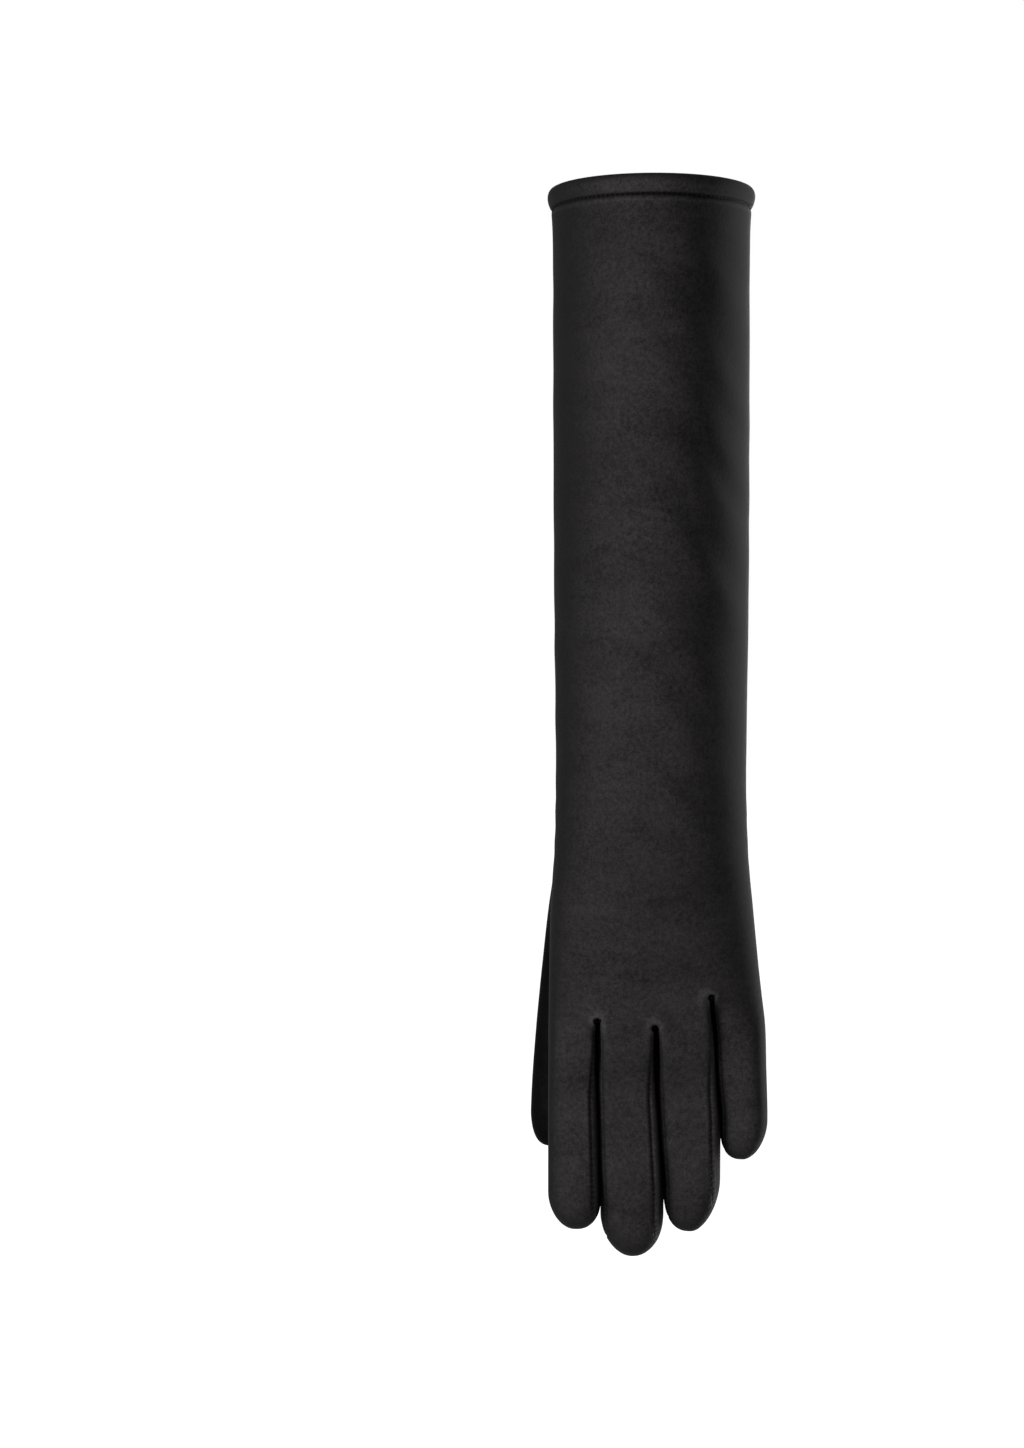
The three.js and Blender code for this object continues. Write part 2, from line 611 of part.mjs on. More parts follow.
// A closed loft through rings of points, with a cap fan at each end.
function loft(rings) {
  const sides = rings[0].length;
  const middle = (ring) => [0, 1, 2].map((i) => ring.reduce((sum, p) => sum + p[i], 0) / sides);
  const places = [...rings.flat(), middle(rings[0]), middle(rings.at(-1))];
  const [first, last] = [places.length - 2, places.length - 1];
  const faces = [];
  for (let i = 0; i < sides; i++) {
    const j = (i + 1) % sides;
    const end = (rings.length - 1) * sides;
    faces.push([first, j, i], [last, end + i, end + j]);
    for (let r = 0; r + 1 < rings.length; r++) {
      const [a, b] = [r * sides, (r + 1) * sides];
      faces.push([a + i, a + j, b + j], [a + i, b + j, b + i]);
    }
  }
  const made = new THREE.BufferGeometry();
  made.setAttribute("position", new THREE.Float32BufferAttribute(places.flat(), 3));
  made.setIndex(faces.flat());
  return made;
}

// The thumb's rings, from inside the palm to the tip, at a depth under its outer surface.
function thumbRings(inset) {
  const start = -KNUCKLE_DROP + THUMB_RISE;
  const dome = THUMB_DOME * THUMB_DEPTH;
  const ring = (share, lower, shrink) => {
    const row = (column) => readTable(THUMB, "down", column, share);
    const z = start - share * THUMB_LENGTH;
    const hand = tubeAt(Math.max(z, -KNUCKLE_DROP));
    const x = hand.x - hand.w + row("inside") * THUMB_WIDTH;
    const y = hand.y + row("back") * THUMB_DEPTH;
    const w = ((row("width") * THUMB_WIDTH) / 2 - inset) * shrink;
    const d = ((row("depth") * THUMB_DEPTH) / 2 - inset) * shrink;
    return Array.from({ length: THUMB_SIDES }, (_, i) => {
      const [dx, dy] = oval(w, d, THUMB_SQUARE, (2 * Math.PI * i) / THUMB_SIDES);
      return [x + dx, y + dy, z - lower];
    });
  };
  const body = (THUMB_LENGTH - dome) / THUMB_LENGTH;
  const rings = [];
  for (let i = 0; i <= THUMB_ROWS; i++) rings.push(ring((i / THUMB_ROWS) * body, 0, 1));
  for (const turn of THUMB_TURNS) {
    const t = THREE.MathUtils.degToRad(turn);
    rings.push(ring(body, (dome - inset) * Math.sin(t), Math.cos(t) ** THUMB_FULL));
  }
  return rings;
}

const solid = (geometry) => {
  const mesh = new wasm.Mesh({
    numProp: 3,
    vertProperties: new Float32Array(geometry.attributes.position.array),
    triVerts: new Uint32Array(geometry.index.array),
  });
  return new wasm.Manifold(mesh);
};

function fromSolid(made) {
  const mesh = made.getMesh();
  const g = new THREE.BufferGeometry();
  g.setAttribute("position", new THREE.Float32BufferAttribute(mesh.vertProperties, 3));
  g.setIndex([...mesh.triVerts]);
  return g;
}

// The hem band: a folded strip in section, carried round the mouth.
function hemBand() {
  const inner = -WALL - SEAM_GAP;
  const outer = SEAM_GAP + 0.15;
  const profile = [
    [outer, -HEM_HEIGHT],
    [outer + 0.7 * WALL, -HEM_HEIGHT + 0.1],
    [outer + WALL, -0.8 * HEM_HEIGHT],
    [outer + WALL + 0.4 * HEM_PUFF, -0.52 * HEM_HEIGHT],
    [outer + WALL, -0.24 * HEM_HEIGHT],
    [outer + 0.3 * WALL, -0.07 * HEM_HEIGHT],
    [-0.7 * WALL, 0],
    [inner - 0.5 * WALL, -0.08 * HEM_HEIGHT],
    [inner - WALL, -0.28 * HEM_HEIGHT],
    [inner - WALL, -0.98 * HEM_HEIGHT],
    [inner, -0.98 * HEM_HEIGHT],
    [inner, SEAM_GAP - HEM_FOLD],
    [outer, SEAM_GAP - HEM_FOLD],
  ];
  const columns = tubeColumns();
  const places = [];
  const faces = [];
  const rows = profile.length;
  columns.forEach((column) => {
    for (const [out, z] of profile) {
      const s = tubeAt(z);
      const [x, y] = oval(s.w + out, s.d + out, s.square, column.even);
      places.push([s.x + x, s.y + y, z]);
    }
  });
  columns.forEach((_, c) => {
    const next = (c + 1) % columns.length;
    for (let r = 0; r < rows; r++) {
      const up = (r + 1) % rows;
      const [a, b] = [c * rows + r, next * rows + r];
      const [d, e] = [c * rows + up, next * rows + up];
      faces.push([a, d, e], [a, e, b]);
    }
  });
  const made = new THREE.BufferGeometry();
  made.setAttribute("position", new THREE.Float32BufferAttribute(places.flat(), 3));
  made.setIndex(faces.flat());
  return made;
}

const suede = new THREE.MeshStandardMaterial({ color: 0x2a2728, roughness: 0.95, metalness: 0 });
const hemSuede = new THREE.MeshStandardMaterial({ color: 0x2d2a2b, roughness: 0.95, metalness: 0 });

const glove = new THREE.Group();
function addPiece(name, geometry, material) {
  const mesh = new THREE.Mesh(geometry, material);
  mesh.name = name;
  glove.add(mesh);
}

const { wall, quads, palm } = sewGlove();
const pieceGeometry = (name) => {
  const piece = new Wall();
  piece.outer = wall.outer;
  piece.inner = wall.inner;
  piece.quads = quads[name];
  return piece.geometry();
};

// The thumb's hollow opens into the palm through a hole of its own shape; its wall stands on the
// palm with the seam's gap.
const thumbOuter = solid(loft(thumbRings(0)));
const thumbHollow = solid(loft(thumbRings(WALL)));
const trank = solid(pieceGeometry("trank")).subtract(thumbHollow);
const thumb = thumbOuter.subtract(thumbHollow).subtract(palm);

addPiece("trank", fromSolid(trank), suede);
SLITS.forEach((slit) => addPiece(slit.name, pieceGeometry(slit.name), suede));
addPiece("thumb", fromSolid(thumb), suede);
addPiece("hem_band", hemBand(), hemSuede);

export default glove;
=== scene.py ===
# %% [markdown]
# # A long black suede glove
#
# The object is an elbow-length dress glove for a left hand, held up as if an arm filled it, with
# its fingers hanging down and the back of the hand to the camera. It is sewn from a few flat
# cuttings: one trank that makes the sleeve, the hand and the finger faces, three forks between the
# fingers, a thumb, and a folded hem.
#
# We don't model each cutting by hand. All the leather is one skin, worked out with numpy, and the
# seams only say where the skin is cut into pieces. So neighbouring pieces always meet.

import bpy
import numpy as np
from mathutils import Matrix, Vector


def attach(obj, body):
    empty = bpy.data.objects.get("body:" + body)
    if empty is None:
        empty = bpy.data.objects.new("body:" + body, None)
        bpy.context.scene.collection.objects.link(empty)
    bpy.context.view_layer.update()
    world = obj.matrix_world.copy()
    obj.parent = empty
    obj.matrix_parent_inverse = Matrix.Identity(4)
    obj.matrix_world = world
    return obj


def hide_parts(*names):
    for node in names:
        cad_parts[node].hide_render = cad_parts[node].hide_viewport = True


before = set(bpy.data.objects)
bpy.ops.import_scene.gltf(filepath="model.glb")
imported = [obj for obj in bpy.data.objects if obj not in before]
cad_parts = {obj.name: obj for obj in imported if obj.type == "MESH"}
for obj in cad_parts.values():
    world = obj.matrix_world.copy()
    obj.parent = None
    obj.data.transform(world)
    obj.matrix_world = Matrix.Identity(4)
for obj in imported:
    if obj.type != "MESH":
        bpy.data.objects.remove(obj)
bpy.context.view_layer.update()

# %% [markdown]
# ## Numbers
#
# Lengths are millimetres until a mesh is made, because a glover measures in them. `smooth` is the
# S-curve 3t² - 2t³ that eases one shape into the next, and `read_table` runs a smooth curve through
# the rows of a small table, so a whole sleeve is described by nine sections.

# %% Helpers for curves
MM = 0.001


def smooth(t):
    """Eases from 0 to 1: three t squared less two t cubed, flat at both ends."""
    t = np.clip(t, 0.0, 1.0)
    return t * t * (3.0 - 2.0 * t)


def blend(a, b, t):
    """Straight mix: a at t = 0 and b at t = 1."""
    return a + (b - a) * t


def bell(distance, width):
    """A bell curve: e to the minus (distance over width) squared."""
    return np.exp(-((distance / width) ** 2))


def read_table(rows, place):
    """Cubic Hermite curve through a table: the slope at a row is that between its neighbours."""
    key, values = rows[:, 0], rows[:, 1:]
    ends = np.arange(len(key))
    before, after = np.maximum(ends - 1, 0), np.minimum(ends + 1, len(key) - 1)
    slope = (values[after] - values[before]) / (key[after] - key[before])[:, None]
    place = np.clip(np.asarray(place, float), key[0], key[-1])
    i = np.clip(np.searchsorted(key, place, side="right") - 1, 0, len(key) - 2)
    span = (key[i + 1] - key[i])[..., None]
    t = (place - key[i])[..., None] / span
    leave, arrive = 2 * t**3 - 3 * t**2 + 1, 3 * t**2 - 2 * t**3
    return (
        leave * values[i]
        + (t**3 - 2 * t**2 + t) * span * slope[i]
        + arrive * values[i + 1]
        + (t**3 - t**2) * span * slope[i + 1]
    )


# %% [markdown]
# ## The camera
#
# The photograph was taken from straight in front and a little below the mouth, so the hem curves
# up in the middle. A 36 mm wide sensor held upright and a long lens give the same frame.

# %% Camera
camera = bpy.data.objects.new("camera", bpy.data.cameras.new("camera"))
bpy.context.collection.objects.link(camera)
camera.location = (-0.052, -1.150, -0.1999)
camera.rotation_euler = (np.pi / 2, 0.0, 0.0)
camera.data.sensor_fit = "AUTO"
camera.data.sensor_width = 36.0
camera.data.lens = 76.5
bpy.context.scene.camera = camera
print("camera is", round(-camera.location.y, 3), "m in front of the glove")

# %% [markdown]
# ## The sleeve and hand
#
# The sleeve is a tube. At every height its section is a superellipse: |x/w|ⁿ + |y/d|ⁿ = 1, a plain
# ellipse at n = 2 that grows squarer as n rises. The arm is nearly round, the wrist an oval, and
# the hand wide and flat. One table holds those sections.

# %% Sections of the tube
KNUCKLE_DROP = 312.0
HEM_HEIGHT = 7.6
DRAPE_PITCH, DRAPE_LAG = 30.0, 44.8
# drop from the mouth, half width, half depth, shift to the little finger, set to the palm, power
TUBE = np.array(
    [
        [0.0, 36.65, 35.5, 0.0, 0.0, 2.0],
        [78.0, 36.6, 34.3, 0.0, 0.0, 2.0],
        [153.0, 36.25, 30.5, 0.0, -0.45, 2.0],
        [221.5, 35.45, 25.0, -0.2, -1.5, 2.1],
        [249.6, 36.2, 21.75, -0.1, -1.5, 2.2],
        [268.3, 37.7, 19.4, 0.2, 0.3, 2.3],
        [290.2, 39.05, 16.5, 1.0, 1.0, 2.4],
        [312.0, 40.35, 14.25, 2.0, 1.0, 2.5],
        [340.0, 41.0, 11.6, 2.2, 1.6, 2.5],
    ]
)
MOUTH_W, MOUTH_D = TUBE[0, 1:3]
HAND_W, HAND_D, HAND_SHIFT, _, HAND_POWER = TUBE[-2, 1:]


def root_of(value, n):
    """Signed power 2/n, which squares up a circle's sine or cosine into a superellipse's."""
    return np.sign(value) * np.abs(value) ** (2.0 / n)


def drapes(angle, z):
    """Height of the soft diagonal folds: a wave down the sleeve that lags round its front.

    A slow wander of the phase makes no two folds alike, a product of two slow waves makes some of
    them fainter, and both ends fade out. A second, shorter wave creases the palm's side of the
    wrist.
    """
    wander = 0.9 * np.sin(0.043 * z + 1.7 * np.cos(angle)) + 0.6 * np.sin(0.019 * z - 2.0 * angle)
    phase = 2 * np.pi * (-z - DRAPE_LAG * np.cos(angle)) / DRAPE_PITCH + wander
    wave = np.sin(phase) + 0.22 * np.sin(1.7 * phase + 0.7)
    uneven = 0.55 + 0.45 * np.sin(0.031 * z + 2.0 * angle + 0.8) * np.cos(0.017 * z - angle)
    fade = smooth((-z - HEM_HEIGHT - 6) / 20) * smooth((262 + z) / 46)
    back = 0.2 + 0.8 * np.abs(np.sin(angle))
    crease = np.sin(2 * np.pi * (-z + 9 * np.sin(2 * angle)) / 11.5)
    wrist = bell(z + 236, 17) * smooth(-np.sin(angle) * 1.4 + 0.35)
    return 0.45 * wave * uneven * fade * back + 0.32 * crease * wrist


def tube_point(angle, z):
    """Point of the tube: centre plus (w cos^(2/n), -d sin^(2/n)), pushed out by the folds.

    Angle 0 looks to the little finger and a quarter turn to the back of the hand, which faces -Y.
    Just under the hem the sleeve swells by 0.8 mm, which dies away as e to the minus drop over 7.
    """
    w, d, shift, into_palm, n = np.moveaxis(read_table(TUBE, -z), -1, 0)
    below = -z - HEM_HEIGHT
    swell = 0.8 * smooth(below / 1.5) * np.exp(-np.maximum(below, 0) / 7)
    out = swell + drapes(angle, z)
    x = shift + (w + out) * root_of(np.cos(angle), n)
    y = into_palm - (d + out) * root_of(np.sin(angle), n)
    return np.stack([x, y, np.broadcast_to(z, x.shape)], axis=-1)


print("mouth, front:", tube_point(np.array(np.pi / 2), np.array(-8.0)).round(1))

# %% [markdown]
# ## The fingers
#
# A finger is a superellipse too, squarish where the slit has just parted it from its neighbour and
# rounder further down. It is rolled a few degrees, so that the fork on its outer side shows from
# the front, and closed by a rounded tip. The seams run straight down its faces, so a fork narrows
# to nothing where the tip curves in to meet them.

# %% Sections of a finger
# Where the fingers part: across the knuckles, and lower down where they are fully spread.
ROOT_X = np.array([-38.35, -20.31, 1.27, 21.97, 42.35])
FAN_X = np.array([-38.4, -18.65, 4.64, 25.82, 43.35])
SLIT_TOP = np.array([-309.7, -312.0, -301.0])
SPREAD_OVER = np.array([62.1, 59.8, 43.6])
# tip's height, half depth, how far the tip comes towards the palm, height of the rounded tip, and
# the powers of its outline on the thumb's side and on the little finger's, 2 for an ellipse
FINGERS = {
    "index": (-389.1, 8.55, 4.8, 14.2, 1.85, 2.55),
    "middle": (-399.6, 9.1, 6.0, 16.4, 1.85, 2.15),
    "ring": (-390.05, 8.75, 5.4, 19.6, 2.6, 1.75),
    "little": (-362.7, 7.65, 3.6, 14.2, 2.7, 1.75),
}
FINGER_ROWS = list(FINGERS.values())
MIDDLE_LENGTH = 88.0
TIP_DEPTH = 2.6  # power of the tip's outline from the side
CLOSE = -0.24  # room left between two fingers; below 0 they press together
# powers of a flank: at the root, further down on the thumb's and the outer side, and at the tip
ROOT_POWER, FLANK_POWERS, PLAIN_POWER = 7.0, (6.0, 4.2), 2.7
ROOT_PINCH, PINCH = 0.85, 0.4  # how far a flank leans away, at the root and lower down
ROOT_FACE, FACE_SHARE = 0.94, 0.8  # share of the half width up to the seams, the same two places
# lengths below the knuckles over which a finger slims, rounds, rolls, leans and narrows its faces
SLIM_OVER, ROUND_OVER, ROLL_OVER, LEAN_OVER, FACES_OVER = 31.7, 17.6, 26.4, 40.0, 30.8
TIP_EASE = 24.0  # and the length above the tip over which its section turns plain
# A number called side is 0 for the thumb's side of a finger and 1 for its outer side.


def left_over(share, n):
    """Height left on a superellipse at a share of its width: (1 - shareⁿ)^(1/n)."""
    return (1.0 - np.minimum(np.abs(share), 1.0) ** n) ** (1.0 / n)


def edge_x(edge, z):
    """Line between two fingers, or down the outer side of an outer one, at a height."""
    slit = min(2, max(0, edge - 1))
    down = (SLIT_TOP[slit] - z) / SPREAD_OVER[slit]
    return blend(ROOT_X[edge], FAN_X[edge], np.clip(down, 0.0, 1.0))


def has_neighbour(f, side):
    """Whether another finger stands beside finger f on a side."""
    return (f > 0, f < 3)[side]


def finger_section(f, z):
    """Centre, half sizes, powers of the two sides and roll of finger f at a height.

    The width fills the room between the lines beside the finger, the depth eases from the hand's
    to its own, and on the tip each side shrinks by its own superellipse. A side with a neighbour
    is boxy at its root, rounder lower down and plain at the tip.
    """
    tip, half_depth, curl, dome, *tip_powers = FINGER_ROWS[f]
    below = -KNUCKLE_DROP - z
    left = edge_x(f, z) + (CLOSE / 2 if f > 0 else 0.0)
    right = edge_x(f + 1, z) - (CLOSE / 2 if f < 3 else 0.0)
    half = (right - left) / 2
    middle = abs((ROOT_X[f] + ROOT_X[f + 1]) / 2 - HAND_SHIFT) / HAND_W
    root_depth = HAND_D * left_over(middle, HAND_POWER)
    slim = smooth(below / SLIM_OVER)
    turn = np.clip((tip + dome - z) / dome, 0.0, 1.0)
    shrink = [np.maximum(left_over(turn, power), 1e-6) for power in tip_powers]
    near_tip = smooth((tip + dome + TIP_EASE - z) / TIP_EASE)
    powers, pinch = [], []
    for side in (0, 1):
        boxy = blend(ROOT_POWER, FLANK_POWERS[side], smooth(below / ROUND_OVER))
        lean = blend(ROOT_PINCH, PINCH, smooth(below / LEAN_OVER)) * shrink[side]
        beside = has_neighbour(f, side)
        powers.append(blend(boxy, PLAIN_POWER, near_tip) if beside else PLAIN_POWER + 0 * z)
        pinch.append(lean if beside else 0 * z)
    return {
        "x": (left + right) / 2 + half * (shrink[1] - shrink[0]) / 2,
        "y": (1.0 - slim) + curl * (below / MIDDLE_LENGTH) ** 2,
        "w": half * (shrink[0] + shrink[1]) / 2,
        "d": blend(root_depth, half_depth, slim) * left_over(turn, TIP_DEPTH),
        "roll": np.radians(9.0) * smooth((below - 3) / ROLL_OVER),
        "powers": powers,
        "pinch": pinch,
        "shrink": shrink,
    }


def seam_share(f, side, z, shrink):
    """Share of the half width that a finger's faces reach: wide at the root, then a fixed width.

    On the rounded tip the centre moves by half the difference of the two sides' shrinking, so the
    share there is (share of the full width less that move) over the width left.
    """
    if not has_neighbour(f, side):
        return np.full_like(z, FACE_SHARE)
    body = blend(ROOT_FACE, FACE_SHARE, smooth((-KNUCKLE_DROP - z) / FACES_OVER))
    mean = (shrink[0] + shrink[1]) / 2
    move = (shrink[side] - shrink[1 - side]) / 2
    return np.clip((body - move) / mean, 0.0, 1.0)


def finger_point(f, face, t, z):
    """Point of finger f at t across one of its four sides, in the order of a ring round it.

    front and back run between the seams, with x as a share of the half width. thumbward and outward
    run from seam to seam round the flank, with y as a share of the half depth. Each flank leans
    away from its neighbour by pinch times rise to the power 1.5, so the two part in a V.
    """
    s = finger_section(f, z)
    left, right = (seam_share(f, side, z, s["shrink"]) for side in (0, 1))
    low, high = s["powers"]
    if face in ("front", "back"):
        way = 1.0 if face == "front" else -1.0
        outward = way * (1.0 - 2.0 * t)
        share, n = np.where(outward < 0, left, right), np.where(outward < 0, low, high)
        across = outward * share
        lean = np.where(outward < 0, *s["pinch"]) * left_over(share, n) ** 1.5
        x = s["w"] * across - lean * outward
        y = -way * s["d"] * left_over(across, n)
    else:
        side = 0 if face == "thumbward" else 1
        way, share, n = (-1.0, 1.0)[side], (left, right)[side], (low, high)[side]
        rise = -way * left_over(share, n) * (1.0 - 2.0 * t)
        x = way * (s["w"] * left_over(rise, n) - s["pinch"][side] * np.abs(rise) ** 1.5)
        y = -s["d"] * rise
    c, k = np.cos(s["roll"]), np.sin(s["roll"])
    return np.stack([s["x"] + x * c + y * k, s["y"] - x * k + y * c, z + 0 * x], axis=-1)


print("fingers:", ", ".join(FINGERS), "- the longest reaches", FINGERS["middle"][0], "mm")

# %% [markdown]
# ## From hand to fingers
#
# The tube's lowest ring is the line of the knuckles, higher on the back of the hand than on the
# palm. It is cut into ten strips: four fingers' front faces, an outer side, four back faces and the
# other outer side. The columns of a strip run on down its finger.

# %% The line of the knuckles
FACE_COLUMNS, OUTER_COLUMNS, FORK_COLUMNS = 18, 20, 12
SLEEVE_START = 0.28  # angle from the side to the first strip's edge, up in the sleeve


def crowd_ends(count):
    """Steps from 0 to 1 that crowd at both ends: three quarters of a cosine's, one of even ones."""
    u = np.linspace(0.0, 1.0, count + 1)
    return blend(u, 0.5 - 0.5 * np.cos(np.pi * u), 0.75)


def crowd_middle(count):
    """Steps from 0 to 1 that crowd in the middle, where the side seam runs: a signed power 1.6."""
    u = np.linspace(-1.0, 1.0, count + 1)
    return 0.5 + 0.5 * np.sign(u) * np.abs(u) ** 1.6


# an outer finger's faces end FACE_SHARE of the way out from its middle
corner_x, outer = ROOT_X.copy(), ROOT_X[[0, 4]]
corner_x[[0, 4]] = blend((outer + ROOT_X[[1, 3]]) / 2, outer, FACE_SHARE)
hand_share = (corner_x - HAND_SHIFT) / HAND_W
edge_angle = np.arccos(np.sign(hand_share) * np.abs(hand_share) ** (HAND_POWER / 2))
edge_z = np.array([-306.2, *SLIT_TOP, -301.9])
palm_drop = np.array([3.15, 7.0, 7.0, 7.0, 3.15])
full_turn = [edge_angle[4] + 2 * np.pi]
stop_angle = np.concatenate([edge_angle[::-1], 2 * np.pi - edge_angle, full_turn])
stop_z = np.concatenate([edge_z[::-1], edge_z - palm_drop, [edge_z[4]]])
even = SLEEVE_START + (np.pi - 2 * SLEEVE_START) * np.arange(5) / 4
sleeve_angle = np.concatenate([even, np.pi + even, [even[0] + 2 * np.pi]])
strip_steps = 2 * ([crowd_ends(FACE_COLUMNS)] * 4 + [crowd_middle(OUTER_COLUMNS)])


def at_columns(stops, ease=lambda t: t):
    """A value at every column: mixed from one strip's edge to the next by the strip's steps."""
    parts = [blend(stops[i], stops[i + 1], ease(t[:-1])) for i, t in enumerate(strip_steps)]
    return np.concatenate([*parts, [stops[-1]]])


column_angle, column_sleeve = at_columns(stop_angle), at_columns(sleeve_angle)
column_z = at_columns(stop_z, smooth)
print("columns round the sleeve:", len(column_z) - 1)

# the tube's rows, level at the hem and slanting at the knuckles: from, to and how many
TUBE_ROWS = [(-2.4, -16.0, 13), (-16.0, -244.0, 83), (-244.0, -305.0, 43), (-305.0, -312.0, 18)]
levels = [np.linspace(top, bottom, rows, endpoint=False) for top, bottom, rows in TUBE_ROWS]
level = np.concatenate([*levels, [-KNUCKLE_DROP]])[:, None]
slant = smooth((-level / KNUCKLE_DROP - 0.72) / 0.28)
turned = smooth((-level / KNUCKLE_DROP - 0.3) / 0.6)
tube_z = level + (column_z + KNUCKLE_DROP) * slant
tube_grid = tube_point(blend(column_sleeve, column_angle, turned), tube_z)
tube_grid = np.concatenate([tube_grid, 0 * tube_grid[..., :1]], axis=-1)

# %% [markdown]
# Below the knuckles each column goes on down a finger. We could let a modifier smooth the join, but
# it would also smooth the slits away. Instead every point is a mix of the tube carried on downwards
# and the finger's own section, quick beside a slit and slow across a face. A fork's points also
# carry a number for the shade painted into it in the slit, and for light painted on its outward
# strip, which the material reads later on.

# %% Grids of the fingers' sides
BODY_STEPS = np.linspace(0, 1, 48) ** 1.7
ROUND_END, QUICK, SLOW = 1.1, 6.0, 16.0  # lengths of the mix: a slit's round end, its lips, a face
FACE_WIDTH, NEAR_SLIT = 19.0, 8.0  # a face's width, and how far from a slit the mix is quick
THUMBWARD = 0.25  # share of a fork's thumbward strip that shows from the front
# painted light: how much lighter each finger's outward strip is painted, in place of light on it
STRIP_PAINTED_LIGHT = [0.2, 1.7, 1.5, 0.0]  # how much light each finger's outward strip catches
SLIT_NAMES = ["fork_index_middle", "fork_middle_ring", "fork_ring_little"]


def tip_drops(f):
    """Shares of a rounded tip's height where it has rows, and the two rows where the forks end.

    A fork ends where its side has shrunk to FACE_SHARE of its width: (1 - FACE_SHAREⁿ)^(1/n).
    """
    ends = np.array([left_over(FACE_SHARE, power) for power in FINGER_ROWS[f][4:]])
    first, second = np.sort(np.arcsin(ends))
    turns = [np.linspace(0, first, 7)[1:], np.linspace(first, second, 5)[1:]]
    turns = np.concatenate([*turns, np.linspace(second, np.pi / 2, 9)[1:]])
    rows = [6 if end == ends.min() else 10 for end in ends]
    return np.sin(turns), rows


def slit_beside(f, face):
    """Which of the three slits a side of finger f lines, or None."""
    slit = {"thumbward": f - 1, "outward": f}.get(face, -1)
    return slit if 0 <= slit < 3 else None


def painted_slit_shade(f, face, steps, to_palm, below, z):
    """Shade painted on a fork's skin: 1 deep in the slit, 0 outside, below 0 where light is painted
    on.

    The painted shade is an S-curve across the fork, over its whole width at the root, and ends
    above the neighbour's tip. Outside it the strip on the back of the hand gets painted light by
    STRIP_PAINTED_LIGHT.
    """
    neighbour_tip = FINGER_ROWS[f - 1 if face == "thumbward" else f + 1][0]
    inside = 1.0 - np.abs(1.0 - 2.0 * steps)
    shown = smooth((below - 6) / 28.0) * (THUMBWARD if face == "thumbward" else 1.0)
    # painted shade: the fork is painted dark deep in the slit
    deep = smooth((inside - 0.22 * shown) / (0.06 + 0.22 * shown))
    deep = deep * smooth((z - neighbour_tip - 3) / 16)
    strip = (1 - smooth((inside - 0.16) / 0.25)) * (to_palm < 0.5)
    # painted light on the outward strip on the back of the hand, as a value below 0
    return deep - STRIP_PAINTED_LIGHT[f] * np.maximum(shown - THUMBWARD, 0.0) * (1 - deep) * strip


def side_grid(f, face):
    """One side of a finger as rows down and columns across: tube mixed into finger.

    The finger's share is an S-curve of the drop below the knuckles, and at a slit a quarter
    circle, which rounds the slit's end. The fourth number of a point is its painted shade and
    light, from painted_slit_shade.
    """
    tip, dome = FINGER_ROWS[f][0], FINGER_ROWS[f][3]
    slit = slit_beside(f, face)
    strip = {"front": 3 - f, "back": 5 + f, "thumbward": 4, "outward": 9}[face]
    steps = strip_steps[strip] if slit is None else crowd_ends(FORK_COLUMNS)
    drops, fork_rows = tip_drops(f)
    down = np.append(BODY_STEPS, np.ones(len(drops)))[:, None]
    drop = np.append(np.zeros(len(BODY_STEPS)), dome * drops)[:, None]
    if slit is not None:
        edge = slit + 1
        to_palm = steps if face == "thumbward" else 1.0 - steps
        root_z = blend(edge_z[edge], edge_z[edge] - palm_drop[edge], to_palm)
        last = len(BODY_STEPS) + fork_rows[0 if face == "thumbward" else 1]
        z = blend(root_z, tip + dome, down[:last]) - drop[:last]
        front = tube_point(np.full_like(z, edge_angle[edge]), z)
        back = tube_point(np.full_like(z, 2 * np.pi - edge_angle[edge]), z)
        start = blend(front, back, to_palm[:, None])
        near = np.ones_like(steps)
        # painted shade and painted light on the fork, kept as the grid's fourth number
        shade = painted_slit_shade(f, face, steps, to_palm, root_z - z, z)
    else:
        root_z = blend(stop_z[strip], stop_z[strip + 1], smooth(steps))
        z = blend(root_z, tip + dome, down) - drop
        angle = blend(stop_angle[strip], stop_angle[strip + 1], steps)
        start = tube_point(np.broadcast_to(angle, z.shape), z)
        outward = 1.0 - steps if face == "front" else steps
        from_slit = np.minimum(outward if f > 0 else 1.0, 1.0 - outward if f < 3 else 1.0)
        beside = 1.0 - smooth(FACE_WIDTH * from_slit / NEAR_SLIT)
        near = beside if face in ("front", "back") else 0 * steps
        shade = 0 * z
    own = finger_point(f, face, steps, z)
    below = root_z - z
    opened = np.clip(below / blend(SLOW, ROUND_END, near), 0.0, 1.0)
    opened = blend(smooth(opened), np.sqrt(1.0 - (1.0 - opened) ** 2), near)
    x = blend(start[..., 0], own[..., 0], opened)
    y = blend(start[..., 1], own[..., 1], smooth(below / blend(SLOW, QUICK, near)))
    return np.stack([x, y, z, shade], axis=-1)


grids = [("trank", tube_grid)]
seam_paths, seam_strength = [], []
for f in range(len(FINGERS)):
    for face in ("front", "thumbward", "back", "outward"):
        slit, grid = slit_beside(f, face), side_grid(f, face)
        grids.append(("trank" if slit is None else SLIT_NAMES[slit], grid))
        if slit is not None:
            seam_paths += [grid[:, 0, :3], grid[:, -1, :3]]
            seam_strength += [THUMBWARD if face == "thumbward" else 1.0] * 2
print("grids:", len(grids), " seams on the fingers:", len(seam_paths))

# %% [markdown]
# ## One skin
#
# The grids share their edges, because both sides of an edge come from the same formula. Rounding
# every point to a tenth of a micron and keeping one of each welds them, without a modifier and
# without losing track of which cutting each face belongs to.

# %% Weld the grids
def grid_quads(index):
    """Quads between neighbours in a grid of point numbers."""
    corners = [index[:-1, :-1], index[:-1, 1:], index[1:, 1:], index[1:, :-1]]
    return np.stack(corners, axis=-1).reshape(-1, 4)


